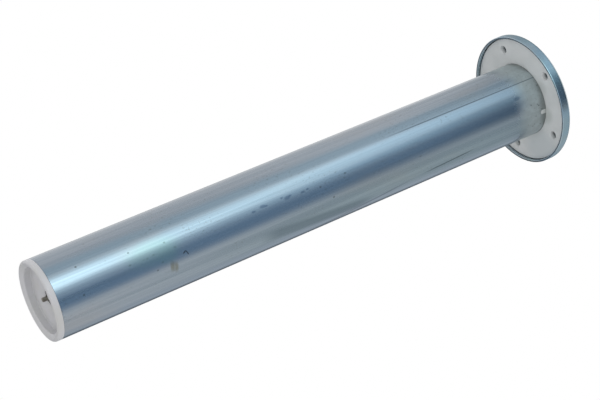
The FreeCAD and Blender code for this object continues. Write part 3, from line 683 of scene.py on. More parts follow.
@dataclass(frozen=True)
class DrawnAluminium:
    """Bare drawn aluminium: faint lengthwise streaks, a dull blotchy end, the marks of use and a painted
    shadow where it meets the flange.
    """

    radius: float
    marks: tuple[Mark | Streak, ...]
    light: Colour = (0.315, 0.355, 0.400)
    dark: Colour = (0.235, 0.275, 0.320)
    warm: Colour = (0.330, 0.325, 0.330)
    dull: Colour = (0.350, 0.405, 0.415)
    # Colour of the specks and pits, and of the painted shadow at the flange
    stain_and_shadow: Colour = (0.150, 0.160, 0.150)
    roughness: float = 0.25
    dull_start: float = -0.027
    dull_full: float = -0.010
    # Heights over which the painted shadow at the flange darkens the tube's top end
    joint_shadow_start: float = -0.004
    joint_shadow_full: float = 0.001
    waver: float = 0.02
    relief: float = 0.00004
    blotches: Patches = Patches((260.0, 260.0, 200.0), 0.42, 0.68, detail=4.0, shift=13.0)
    specks: Patches = Patches((800.0, 800.0, 600.0), 0.67, 0.73, end=0.5, detail=2.0, shift=11.0)
    pits: Patches = Patches((900.0, 900.0, 620.0), 0.62, 0.68, end=0.45, detail=2.0, shift=17.0)
    clusters: Patches = Patches((55.0, 55.0, 22.0), 0.48, 0.62, start=0.15, shift=31.0)

    def build(self) -> Material:
        """Make the material."""
        shader = Shader("drawn_aluminium")
        lines = shader.noise((1100.0, 1100.0, 4.0), 4.0)
        bands = shader.noise((120.0, 120.0, 3.0), shift=3.0)
        cloud = shader.noise((40.0, 40.0, 14.0), 4.0, shift=7.0)
        hatch = shader.noise((60.0, 60.0, 1500.0), shift=23.0)
        tone = shader.blend(lines, bands, 0.35)
        colour = shader.mix(shader.ramp(tone, 0.34, 0.66), self.dark, self.light)
        colour = shader.mix(shader.ramp(cloud, 0.5, 0.75, end=0.4), colour, self.warm)
        height = shader.parts(shader.place)[2]
        edge = shader.math("ADD", height, shader.times(shader.math("SUBTRACT", cloud, 0.5), self.waver))
        end = shader.ramp(edge, self.dull_start, self.dull_full)
        spoiled = shader.mix(self.blotches.share(shader), self.dull, tuple(1.15 * each for each in self.dull))
        colour = shader.mix(shader.times(end, 0.9), colour, spoiled)
        # Painted shadow: the tube's top few millimetres are darkened towards the stain colour, as shade where
        # it meets the flange
        painted_joint_shadow = shader.ramp(edge, self.joint_shadow_start, self.joint_shadow_full, end=0.6)
        pits = shader.times(self.pits.share(shader), self.clusters.share(shader))
        for share in (shader.times(self.specks.share(shader), end), painted_joint_shadow, pits):
            colour = shader.mix(share, colour, self.stain_and_shadow)
        for mark in self.marks:
            colour = mark.paint(shader, self.radius, colour)
        rough = shader.ramp(tone, 0.3, 0.7, self.roughness + 0.04, self.roughness - 0.03)
        shader.set(Base_Color=colour, Metallic=shader.math("SUBTRACT", 1.0, shader.times(end, 0.7)),
                   Roughness=shader.math("ADD", rough, shader.times(end, 0.18)))
        shader.bump(shader.blend(tone, hatch, 0.6), self.relief, 0.5)
        return shader.material


@dataclass(frozen=True)
class MouldedPlastic:
    """Moulded plastic with faint clouds, a fine grain and dark marks laid over it, mostly painted shade."""

    name: str
    colour: Colour
    shade: Colour
    roughness: float = 0.42
    glow: float = 0.0
    grain: float = 2200.0
    relief: float = 0.00001
    clouds: Patches = Patches((70.0, 70.0, 70.0), 0.35, 0.75, detail=4.0)
    marks: tuple[Mark, ...] = ()
    mark_radius: float = 0.0

    def build(self) -> Material:
        """Make the material."""
        shader = Shader(self.name)
        fine = shader.noise((self.grain,) * 3, 2.0, shift=5.0)
        colour = shader.mix(self.clouds.share(shader), self.colour, self.shade)
        for mark in self.marks:
            colour = mark.paint(shader, self.mark_radius, colour)
        rough = shader.ramp(fine, 0.2, 0.8, self.roughness - 0.05, self.roughness + 0.05)
        shader.set(Base_Color=colour, Roughness=rough)
        if self.glow:
            shader.set(Subsurface_Weight=self.glow, Subsurface_Radius=(0.002,) * 3, Subsurface_Scale=1.0)
        shader.bump(fine, self.relief, 0.5)
        return shader.material


@dataclass(frozen=True)
class ZincPlate:
    """Zinc plating: a bluish metal with faint yellow-green patches and fine scratches."""

    name: str = "zinc_plate"
    blue: Colour = (0.34, 0.44, 0.52)
    grey: Colour = (0.38, 0.44, 0.48)
    green: Colour = (0.33, 0.43, 0.44)
    roughness: float = 0.18
    relief: float = 0.000008
    greyed: Patches = Patches((55.0, 55.0, 55.0), 0.4, 0.65)
    tinted: Patches = Patches((32.0, 32.0, 32.0), 0.52, 0.72, end=0.6, detail=2.0, shift=9.0)

    def build(self) -> Material:
        """Make the material."""
        shader = Shader(self.name)
        colour = shader.mix(self.greyed.share(shader), self.blue, self.grey)
        colour = shader.mix(self.tinted.share(shader), colour, self.green)
        fine = shader.noise((900.0, 240.0, 900.0), shift=2.0)
        rough = shader.ramp(fine, 0.3, 0.7, self.roughness - 0.03, self.roughness + 0.05)
        shader.set(Base_Color=colour, Metallic=1.0, Roughness=rough)
        shader.bump(fine, self.relief, 0.3)
        return shader.material


@dataclass(frozen=True)
class WorkedMetal:
    """Turned, rolled or drawn metal with tool lines and a duller tone in places."""

    name: str
    light: Colour
    dark: Colour
    roughness: float = 0.3
    lines: Scale = (500.0, 500.0, 4000.0)
    relief: float = 0.00001

    def build(self) -> Material:
        """Make the material."""
        shader = Shader(self.name)
        tool = shader.noise(self.lines)
        tone = shader.blend(tool, shader.noise((300.0, 300.0, 300.0), shift=4.0))
        colour = shader.mix(shader.ramp(tone, 0.35, 0.65), self.dark, self.light)
        rough = shader.ramp(tone, 0.35, 0.65, self.roughness + 0.12, self.roughness)
        shader.set(Base_Color=colour, Metallic=1.0, Roughness=rough)
        shader.bump(tool, self.relief, 0.5)
        return shader.material


@dataclass(frozen=True)
class CellFoam:
    """Closed-cell foam or rubber: dark, matte and finely pitted."""

    name: str
    colour: Colour = (0.035, 0.035, 0.037)
    shade: Colour = (0.065, 0.065, 0.068)
    cells: float = 1500.0
    depth: float = 0.0001
    roughness: float = 0.8
    clouds: Patches = Patches((90.0, 90.0, 90.0), 0.35, 0.7)

    def build(self) -> Material:
        """Make the material."""
        shader = Shader(self.name)
        mapped = shader.node("ShaderNodeMapping", {"Vector": shader.place, "Scale": (self.cells,) * 3})
        voronoi = shader.node("ShaderNodeTexVoronoi", {"Vector": mapped.outputs[0], "Scale": 1.0})
        cells = voronoi.outputs["Distance"]
        colour = shader.mix(self.clouds.share(shader), self.colour, self.shade)
        pitted = shader.ramp(cells, 0.0, 0.5, 0.5, 0.0)
        colour = shader.mix(pitted, colour, tuple(0.5 * each for each in self.colour))
        shader.set(Base_Color=colour, Roughness=self.roughness)
        shader.bump(cells, self.depth, 0.6)
        return shader.material


@dataclass(frozen=True)
class PaperLaminate:
    """Brown paper laminate with its layers showing at the edge."""

    name: str = "paper_laminate"
    light: Colour = (0.36, 0.20, 0.095)
    dark: Colour = (0.22, 0.11, 0.05)
    roughness: float = 0.45
    relief: float = 0.00002

    def build(self) -> Material:
        """Make the material."""
        shader = Shader(self.name)
        fibres = shader.noise((1200.0, 500.0, 1200.0), 4.0, shift=6.0)
        tone = shader.blend(shader.noise((60.0, 60.0, 5000.0), 2.0), fibres)
        colour = shader.mix(shader.ramp(tone, 0.35, 0.65), self.dark, self.light)
        shader.set(Base_Color=colour, Roughness=self.roughness)
        shader.bump(fibres, self.relief, 0.4)
        return shader.material


# Sub-assemblies


def dress(piece: Piece, body: str, slot: str, *nodes: str) -> None:
    """Tie a finished piece to its body and hide the solids that it stands for.

    Args:
        piece: the finished object.
        body: body that it rides on.
        slot: not used.
        nodes: solids that it replaces.
    """
    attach(piece, body)
    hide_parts(*nodes)
    LOG.info("%s: %d faces on %s", piece.name, len(piece.data.polygons), body)


def paint_nodes(material: Material, *names: str) -> None:
    """Give solids that stay as they are a finish.

    Args:
        material: the finish.
        names: names of the solids.
    """
    for name in names:
        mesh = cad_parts[name].data
        mesh.materials.clear()
        mesh.materials.append(material)
        LOG.info("%s: painted %s", name, material.name)


@dataclass
class ProtectiveTube:
    """The drawn tube with its two lug slots and its vent."""

    cut: RoundPattern
    radius: float = 0.027
    bore: float = 0.0255
    foot: float = -0.3858
    top: float = 0.0005
    slot_half_width: float = 0.0017
    slot_end: float = -0.0046
    slot_azimuth: float = -45.0
    slot_count: int = 2
    vent_radius: float = 0.0015
    vent_height: float = -0.022
    vent_azimuth: float = 90.0
    edge: float = 0.0002
    rows: tuple[float, ...] = (-0.030, -0.014, -0.007)
    faces: int = 256

    def marks(self) -> tuple[Mark | Streak, ...]:
        """Stains, specks, scratches and the seam, where the photograph has them."""
        film = (0.27, 0.37, 0.35)
        dirt_and_painted_shade = (0.16, 0.155, 0.11)
        nick = (0.04, 0.045, 0.05)
        specks = (
            (-101.1, -0.3669, 0.0009), (-91.2, -0.3329, 0.0008), (-75.7, -0.3183, 0.0008),
            (-85.6, -0.3086, 0.0009), (-74.4, -0.3031, 0.0008), (-74.5, -0.3229, 0.0007),
            (-74.6, -0.3255, 0.0006), (-75.0, -0.3351, 0.0008), (-62.1, -0.3140, 0.0008),
            (-53.9, -0.3187, 0.0007), (-62.8, -0.3692, 0.0009), (-72.8, -0.1926, 0.0008),
            (-77.6, -0.1718, 0.0008), (-51.6, -0.1849, 0.0009), (-62.7, -0.0123, 0.0007),
            (-58.1, -0.0059, 0.0008), (-60.5, -0.0068, 0.0006), (-50.8, -0.0034, 0.0007),
            (-42.7, -0.0091, 0.0006), (-24.1, -0.0040, 0.0007), (-25.9, -0.0113, 0.0007),
            (-29.0, -0.0100, 0.0006), (-87.3, -0.0013, 0.0008),
        )
        smudges = (
            (-76.8, -0.2441, 0.0011), (-79.0, -0.2368, 0.0015), (-77.9, -0.2343, 0.0010),
            (-79.6, -0.2219, 0.0008), (-77.1, -0.2179, 0.0017), (-78.5, -0.2157, 0.0009),
            (-76.0, -0.2061, 0.0011), (-77.2, -0.2022, 0.0008), (-80.4, -0.0219, 0.0019),
        )
        found: list[Mark | Streak] = []
        for places, stretch, colour, strength in (
                (specks, 1.3, (0.10, 0.115, 0.12), 0.7), (smudges, 2.0, (0.10, 0.14, 0.20), 0.6)):
            found += [Mark(azimuth, height, size, stretch * size, colour, strength)
                      for azimuth, height, size in places]
        found += [
            Mark(-79.0, -0.3180, 0.0110, 0.0260, film, 0.5),
            Mark(-70.0, -0.3095, 0.0085, 0.0100, film, 0.45),
            Mark(-49.0, -0.3070, 0.0045, 0.0036, dirt_and_painted_shade, 0.35),
            Streak((-62.0, -40.0), (-0.3078, -0.3093), 0.0020, dirt_and_painted_shade, 0.5, 0.45),
            Streak((-58.0, -37.0), (-0.3053, -0.3062), 0.0016, dirt_and_painted_shade, 0.45, 0.45),
            Streak((-61.7, -64.7), (-0.2994, -0.2971), 0.0006, nick, 0.85, 0.1),
            Streak((-64.7, -57.6), (-0.2971, -0.2958), 0.0005, nick, 0.8, 0.2),
            Streak((-34.0, -17.0), (-0.2470, -0.1480), 0.0062, (0.13, 0.165, 0.20), 0.7, 0.2),
            Streak((-101.3, -102.4), (0.0300, -0.1450), 0.0006, (0.085, 0.11, 0.13), 0.75, 0.25),
            Streak((0.4, -25.8), (-0.2098, -0.1132), 0.0011, (0.12, 0.14, 0.18), 0.75),
            Streak((-25.8, -31.5), (-0.1132, -0.0620), 0.0008, (0.08, 0.10, 0.12), 0.85),
        ]
        return tuple(found)

    def build(self) -> None:
        """Make the tube."""
        material = DrawnAluminium(self.radius, self.marks()).build()
        edge = self.edge
        profile = [(self.bore, self.foot + edge), (self.bore + edge, self.foot)]
        profile += [(self.radius - edge, self.foot), (self.radius, self.foot + edge)]
        profile += [(self.radius, row) for row in self.rows]
        profile += [(self.radius, 0.0), (self.radius - self.top, self.top)]
        profile += [(self.bore + edge, self.top), (self.bore, self.top - edge)]
        profile += [(self.bore, row) for row in reversed(self.rows)]
        tube = turned("protective_tube_drawn", profile, self.faces)
        self.cut.apply(tube, self.slot_shape(), self.slot_count, self.slot_azimuth, material)
        self.cut.apply(tube, self.vent_shape(), 1, self.vent_azimuth, material)
        shade(tube, (self.radius, self.bore))
        dress(tube, BODY, "bare_aluminium", "protective_tube")

    def slot_shape(self) -> Piece:
        """Cutter of a lug slot at azimuth 0: straight sides and a round lower end."""
        half = self.slot_half_width
        reach = self.top + CUT_MARGIN
        outline = [(half, reach), (-half, reach)] + arc((0.0, self.slot_end + half), half, 180.0, 360.0, 16)
        return extruded("lug_slot", outline, self.bore - CUT_MARGIN, self.radius + CUT_MARGIN, Axis.X)

    def vent_shape(self) -> Piece:
        """Cutter of the round vent at azimuth 0, sixteen-sided."""
        outline = arc((0.0, self.vent_height), self.vent_radius, 0.0, 337.5, 15)
        return extruded("vent", outline, self.bore - CUT_MARGIN, self.radius + CUT_MARGIN, Axis.X)


@dataclass
class BottomCap:
    """The white moulded cap at the tube's foot."""

    cut: RoundPattern
    rim: float = -0.390
    radius: float = 0.027
    lip_top: float = -0.3858
    plug_radius: float = 0.02545
    plug_wall: float = 0.0022
    plug_top: float = -0.3738
    opening: float = 0.02225
    floor_bottom: float = -0.3836
    floor_top: float = -0.3805
    rounding: float = 0.0016
    mouth_width: float = 0.0031
    mouth_depth: float = 0.0018
    corner: float = 0.0006
    rod_hole: float = 0.00155
    inlet_root: float = 0.0008
    inlet_half_width: float = 0.00115
    inlet_reach: float = 0.0052
    inlet_count: int = 3
    inlet_azimuth: float = -20.0
    faces: int = 160

    def build(self) -> None:
        """Make the cap."""
        # The first mark is painted shade in the inlet slots, darkening their walls; the second lays a dark
        # ring round the rod's root
        dirt_and_painted_shade = (
            Mark(0.0, self.floor_top, 0.0120, 0.0034, (0.045, 0.043, 0.030), 0.95),
            Mark(0.0, self.floor_bottom, 0.0026, 0.0010, (0.060, 0.055, 0.040), 0.9),
        )
        material = MouldedPlastic(
            "cap_plastic", (0.59, 0.59, 0.615), (0.57, 0.57, 0.565), glow=0.06, marks=dirt_and_painted_shade).build()
        soft = self.rounding
        corner = self.corner
        inner = self.plug_radius - self.plug_wall
        profile = arc((self.radius - soft, self.rim + soft), soft, 270.0, 360.0)
        profile += [(self.radius, self.lip_top), (self.plug_radius, self.lip_top)]
        profile += [(self.plug_radius, self.plug_top), (inner, self.plug_top), (inner, self.floor_top)]
        profile += [(self.rod_hole, self.floor_top), (self.rod_hole, self.floor_bottom)]
        profile += arc((self.opening - corner, self.floor_bottom - corner), corner, 90.0, 0.0)
        profile += [(self.opening, self.rim + self.mouth_depth), (self.opening + self.mouth_width, self.rim)]
        cap = turned("bottom_cap_moulded", profile, self.faces)
        self.cut.apply(cap, self.inlet_shape(), self.inlet_count, self.inlet_azimuth, material)
        shade(cap, (self.radius, self.plug_radius, inner, self.opening))
        dress(cap, BODY, "white_plastic", "bottom_cap")

    def inlet_shape(self) -> Piece:
        """Cutter of an inlet slot at azimuth 0: from inside the rod's hole outwards, with a round end."""
        half = self.inlet_half_width
        past = CUT_MARGIN / 2
        outline = [(self.inlet_root, half), (self.inlet_root, -half)]
        outline += arc((self.inlet_reach - half, 0.0), half, -90.0, 90.0, 12)
        return extruded("inlet", outline, self.floor_bottom - past, self.floor_top + past, Axis.Z)


@dataclass
class Flange:
    """The white carrier and the plated cover pressed round it."""

    cut: RoundPattern
    add: RoundPattern
    carrier_radius: float = 0.046
    carrier_top: float = 0.0035
    seat_radius: float = 0.0272
    seat_depth: float = 0.0005
    spigot_radius: float = 0.02545
    spigot_wall: float = 0.0025
    spigot_foot: float = -0.012
    boss_radius: float = 0.0055
    rod_hole: float = 0.00155
    rod_seat: float = 0.0028
    rod_seat_depth: float = 0.0013
    lug_half_width: float = 0.0016
    lug_foot: float = -0.0045
    lug_radius: float = 0.0269
    lug_azimuth: float = -45.0
    lug_count: int = 2
    cover_radius: float = 0.048
    cover_sheet: float = 0.0016
    cover_foot: float = -0.0025
    cover_bend: float = 0.0024
    cover_edge: float = 0.0004
    bolt_circle: float = 0.038
    bolt_hole: float = 0.00275
    bolt_chamfer: float = 0.0005
    bolt_count: int = 5
    bolt_azimuth: float = -90.0
    terminal_circle: float = 0.015
    terminal_azimuths: tuple[float, ...] = (90.0, 210.0, 330.0)
    stud_hole: float = 0.00205
    stud_seat: float = 0.0037
    stud_seat_depth: float = 0.0017
    bush_hole: float = 0.0045
    edge: float = 0.0002
    shade_circle: float = 0.0275
    # Reach from a bolt hole's axis, as a share of its radius, and largest upright part of a face's normal,
    # for the cover's faces that get the painted shade inside the holes
    hole_shade_reach: float = 1.05
    hole_shade_lean: float = 0.1
    faces: int = 192
    hole_faces: int = 48

    def bolt_azimuths(self) -> list[float]:
        """Directions of the bolt holes, in degrees."""
        return [self.bolt_azimuth + 360.0 / self.bolt_count * index for index in range(self.bolt_count)]

    def build(self) -> None:
        """Make both pieces."""
        self.build_carrier()
        self.build_cover()

    def build_carrier(self) -> None:
        """Make the white carrier: disc, spigot, boss, lugs, seats and holes."""
        top = self.carrier_top
        # Painted shade: dark patches in the upper part of the bolt holes, a darker patch on the disc's face
        # round azimuth 12 degrees, and a darker halo on the face by the tube
        dirt_and_painted_shade = [Mark(azimuth, top + self.bolt_chamfer, 0.0060, 0.0030, (0.035, 0.045, 0.050), 0.95)
                for azimuth in self.bolt_azimuths()]
        dirt_and_painted_shade.append(Mark(12.0, 0.0, 0.0220, 0.0040, (0.46, 0.52, 0.55), 0.5))
        for azimuth, width, strength in ((-39.0, 0.0090, 0.55), (-80.0, 0.0080, 0.30)):
            dirt_and_painted_shade.append(Mark(azimuth, 0.0, width, 0.0040, (0.46, 0.50, 0.48), strength, self.shade_circle))
        material = MouldedPlastic("carrier_plastic", (0.69, 0.71, 0.715), (0.63, 0.655, 0.66), glow=0.05,
                                  marks=tuple(dirt_and_painted_shade), mark_radius=self.bolt_circle).build()
        edge = self.edge
        inner = self.spigot_radius - self.spigot_wall
        profile = [(self.rod_hole, top - self.rod_seat_depth), (self.rod_hole, self.spigot_foot)]
        profile += [(self.boss_radius, self.spigot_foot), (self.boss_radius, 0.0)]
        profile += [(inner, 0.0), (inner, self.spigot_foot), (self.spigot_radius, self.spigot_foot)]
        profile += [(self.spigot_radius, self.seat_depth), (self.seat_radius, self.seat_depth)]
        profile += [(self.seat_radius, 0.0), (self.carrier_radius - edge / 2, 0.0)]
        profile += [(self.carrier_radius, edge / 2), (self.carrier_radius, top - edge)]
        profile += [(self.carrier_radius - edge, top), (self.rod_seat, top)]
        profile += [(self.rod_seat, top - self.rod_seat_depth)]
        carrier = turned("flange_carrier_moulded", profile, self.faces)
        self.add.apply(carrier, self.lug_shape(), self.lug_count, self.lug_azimuth, material)
        self.cut.apply(carrier, self.bolt_shape(chamfered=True), self.bolt_count, self.bolt_azimuth, material)
        azimuths = self.terminal_azimuths
        self.cut.apply(carrier, self.terminal_shape(), len(azimuths), azimuths[0], material)
        shade(carrier, (self.boss_radius, inner, self.spigot_radius, self.carrier_radius))
        dress(carrier, BODY, "white_plastic", "flange_carrier")

    def build_cover(self) -> None:
        """Make the pressed cover: a shallow cup with a rounded bend and the holes through its top."""
        material = ZincPlate().build()
        top = self.carrier_top + self.cover_sheet
        inner = self.cover_radius - self.cover_sheet
        bend = self.cover_bend
        edge = self.cover_edge
        foot = self.cover_foot
        profile = [(self.rod_hole, self.carrier_top), (inner - edge, self.carrier_top)]
        profile += arc((inner - edge, self.carrier_top - edge), edge, 90.0, 0.0)
        profile += arc((inner + edge, foot + edge), edge, 180.0, 270.0)
        profile += arc((self.cover_radius - edge, foot + edge), edge, 270.0, 360.0)
        profile += arc((self.cover_radius - bend, top - bend), bend, 0.0, 90.0, 10)
        profile += [(self.rod_hole, top)]
        cover = turned("flange_cover_pressed", profile, self.faces)
        self.cut.apply(cover, self.bolt_shape(chamfered=False), self.bolt_count, self.bolt_azimuth, material)
        radii = (self.bush_hole, self.bush_hole, self.stud_hole)
        for azimuth, radius in zip(self.terminal_azimuths, radii):
            self.cut.apply(cover, self.plain_hole(radius), 1, azimuth, material)
        shade(cover, (self.cover_radius, inner))
        self.paint_hole_shade(cover)
        dress(cover, BODY, "zinc_plate", "flange_cover")

    def paint_hole_shade(self, cover: Piece) -> None:
        """Give the walls of the cover's bolt holes a near-black finish: painted shade inside the holes.

        Args:
            cover: the cover.
        """
        # Near-black metal on the hole walls: painted shade inside the bolt holes
        material = WorkedMetal("painted_hole_shade", (0.10, 0.105, 0.11), (0.05, 0.052, 0.055), 0.45).build()
        cover.data.materials.append(material)
        last = len(cover.data.materials) - 1
        centres = [on_circle(self.bolt_circle, azimuth) for azimuth in self.bolt_azimuths()]
        reach = self.hole_shade_reach * self.bolt_hole
        for face in cover.data.polygons:
            place = Vector((face.center.x, face.center.y, 0.0))
            near = min((place - centre).length for centre in centres) < reach
            if near and abs(face.normal.z) <= self.hole_shade_lean:
                face.material_index = last

    def lug_shape(self) -> Piece:
        """Lug at azimuth 0, from inside the spigot's wall to just under the tube's surface."""
        half = self.lug_half_width
        root = self.seat_depth + self.edge
        outline = [(half, root), (-half, root)] + arc((0.0, self.lug_foot + half), half, 180.0, 360.0, 16)
        return extruded("lug", outline, self.spigot_radius - self.spigot_wall / 2, self.lug_radius, Axis.X)

    def bolt_shape(self, chamfered: bool) -> Piece:
        """Cutter of a bolt hole at azimuth 0.

        Args:
            chamfered: whether it has its chamfer at the seal face.

        Returns:
            The cutter.
        """
        wall = [(self.bolt_hole, -CUT_MARGIN)]
        if chamfered:
            wall = [(self.bolt_hole + self.bolt_chamfer + CUT_MARGIN, -CUT_MARGIN)]
            wall += [(self.bolt_hole, self.bolt_chamfer)]
        reach = self.carrier_top + self.cover_sheet + CUT_MARGIN
        return self.cutter("bolt_hole", wall + [(self.bolt_hole, reach)], self.bolt_circle)

    def terminal_shape(self) -> Piece:
        """Cutter of a terminal's hole and seal seat at azimuth 0."""
        seat = self.carrier_top - self.stud_seat_depth
        wall = [(self.stud_hole, -CUT_MARGIN), (self.stud_hole, seat), (self.stud_seat, seat)]
        wall += [(self.stud_seat, self.carrier_top + CUT_MARGIN)]
        return self.cutter("terminal_hole", wall, self.terminal_circle)

    def plain_hole(self, radius: float) -> Piece:
        """Cutter of a terminal's hole through the cover, at azimuth 0.

        Args:
            radius: radius of the hole.

        Returns:
            The cutter.
        """
        low = self.carrier_top - CUT_MARGIN / 2
        high = self.carrier_top + self.cover_sheet + CUT_MARGIN
        return self.cutter("cover_hole", [(radius, low), (radius, high)], self.terminal_circle)

    def cutter(self, name: str, wall: Profile, distance: float) -> Piece:
        """Turned cutter, shifted out along +X.

        Args:
            name: name of the object.
            wall: its outer points, from the foot up.
            distance: how far its axis stands from the flange's.

        Returns:
            The cutter.
        """
        profile = [(0.0, wall[0][1]), *wall, (0.0, wall[-1][1])]
        shape = turned(name, profile, self.hole_faces)
        shape.data.transform(Matrix.Translation((distance, 0.0, 0.0)))
        return shape


@dataclass
class GuideRod:
    """The steel rod: a marked foot, a collar and a threaded head."""

    thread_tree: ScrewThread
    foot: float = -0.387
    dimple: float = 0.0007
    foot_rounding: float = 0.0006
    collar_radius: float = 0.004
    collar_bottom: float = -0.0135
    collar_top: float = -0.012
    head: Thread = Thread(radius=0.0015, low=0.0062, top=0.0087, chamfer=0.0003, pitch=0.0005, depth=0.00027)
    faces: int = 40

    def build(self) -> None:
        """Make the rod."""
        material = WorkedMetal("rod_steel", (0.34, 0.32, 0.28), (0.17, 0.155, 0.13), 0.34).build()
        radius = self.head.radius
        soft = self.foot_rounding
        profile = [(0.0, self.foot + self.dimple), (self.dimple, self.foot)]
        profile += arc((radius - soft, self.foot + soft), soft, 270.0, 360.0)
        profile += [(radius, self.collar_bottom), (self.collar_radius, self.collar_bottom)]
        profile += [(self.collar_radius, self.collar_top), (radius, self.collar_top)]
        rod = turned("guide_rod_turned", profile + self.head.profile(), self.faces)
        self.thread_tree.apply(rod, self.head, material)
        shade(rod, (self.collar_radius,))
        dress(rod, BODY, "rod_steel", "guide_rod")


@dataclass
class Terminals:
    """Three threaded studs on the flange, and the small parts round them."""

    thread_tree: ScrewThread
    circle: float = 0.015
    first_azimuth: float = 90.0
    count: int = 3
    head_radius: float = 0.0038
    head_bottom: float = -0.0028
    head_top: float = -0.0004
    stud: Thread = Thread(radius=0.002, low=0.0062, top=0.0201, chamfer=0.0005, pitch=0.0007, depth=0.00036)
    faces: int = 40

    def build(self) -> None:
        """Make the studs and dress the small parts."""
        brass = WorkedMetal("terminal_brass", (0.66, 0.52, 0.26), (0.45, 0.33, 0.15), 0.26).build()
        profile = [(0.0, self.head_bottom), (self.head_radius, self.head_bottom)]
        profile += [(self.head_radius, self.head_top), (self.stud.radius, self.head_top)]
        studs = turned("terminal_studs_threaded", profile + self.stud.profile(), self.faces)
        self.thread_tree.apply(studs, self.stud, brass, self.circle, self.count, self.first_azimuth)
        shade(studs)
        dress(studs, BODY, "brass", "terminal_stud_signal", "terminal_stud_warning", "terminal_stud_ground")
        paint_nodes(brass, "terminal_nuts", "terminal_washers", "wire_ferrules", "warning_lead", "float_bush")
        steel = WorkedMetal("spring_steel", (0.38, 0.39, 0.41), (0.25, 0.26, 0.28), 0.3).build()
        paint_nodes(steel, "lock_washers", "rod_clip")
        zinc = ZincPlate("zinc_plated_fasteners").build()
        paint_nodes(zinc, "rod_nut", "rod_washer")
        bush = MouldedPlastic("bush_plastic", (0.030, 0.030, 0.033), (0.045, 0.045, 0.048), 0.4).build()
        paint_nodes(bush, "insulating_bushes")


class InnerParts:
    """What the tube holds: the float, its wires and contacts, the plate and the stop."""

    def build(self) -> None:
        """Give each solid its finish."""
        rolled = (900.0, 300.0, 900.0)
        bronze = WorkedMetal("contact_bronze", (0.66, 0.44, 0.25), (0.47, 0.29, 0.15), 0.28, rolled)
        paint_nodes(bronze.build(), "wire_spring_left", "wire_spring_right", "warning_strip",
                    "warning_contact", "contact_bridge")
        alloy = WorkedMetal("resistance_alloy", (0.58, 0.56, 0.52), (0.42, 0.40, 0.37), 0.25)
        paint_nodes(alloy.build(), "resistance_wire_left", "resistance_wire_right")
        paint_nodes(CellFoam("float_foam").build(), "float_body")
        rubber = CellFoam("seal_rubber", (0.02, 0.02, 0.021), (0.035, 0.035, 0.036), 3000.0, 0.00001, 0.5)
        paint_nodes(rubber.build(), "terminal_seals", "rod_seal", "upper_stop")
        paint_nodes(PaperLaminate().build(), "anchor_plate")


# Studio


@dataclass
class Lamp:
    """A soft rectangular lamp that shines at a point of the object."""

    name: str
    place: Vector
    target: Vector
    width: float
    tall: float
    radiance: float
    colour: Colour = (1.0, 1.0, 1.0)
    mirrored: bool = True

    def build(self) -> None:
        """Put the lamp into the scene, with a power that makes it look equally bright at any size."""
        light = bpy.data.lights.new(self.name, "AREA")
        light.shape = "RECTANGLE"
        light.size = self.width
        light.size_y = self.tall
        light.energy = self.radiance * self.width * self.tall * math.pi
        light.color = self.colour
        lamp = bpy.data.objects.new(self.name, light)
        lamp.location = self.place
        lamp.rotation_mode = "QUATERNION"
        lamp.rotation_quaternion = (self.target - self.place).to_track_quat("-Z", "Y")
        lamp.visible_camera = False
        lamp.visible_glossy = self.mirrored
        bpy.context.scene.collection.objects.link(lamp)


@dataclass(frozen=True)
class Field:
    """A field of light or shade on the light tent, with soft edges; it may lean and change with height.

    Azimuths are in degrees. The strength goes from the first value at the first height to the second
    value at the second height.
    """

    azimuth: float
    half_width: float
    fade: float
    colour: Colour
    lean: float = 0.0
    heights: tuple[float, float] = (0.0, 1.0)
    strength: tuple[float, float] = (1.0, 1.0)

    def share(self, azimuth: float, height: float) -> float:
        """How much of the field is at a place of the tent, 0 to 1."""
        centre = self.azimuth + self.lean * height
        away = abs((azimuth - centre + 180.0) % 360.0 - 180.0)
        across = 1.0 - smooth_step(away, self.half_width - self.fade / 2, self.half_width + self.fade / 2)
        up = smooth_step(height, *self.heights)
        return across * (self.strength[0] + (self.strength[1] - self.strength[0]) * up)


def smooth_step(value: float, low: float, high: float) -> float:
    """Smooth step of a number from 0 at low to 1 at high."""
    part = min(max((value - low) / (high - low), 0.0), 1.0)
    return part * part * (3.0 - 2.0 * part)


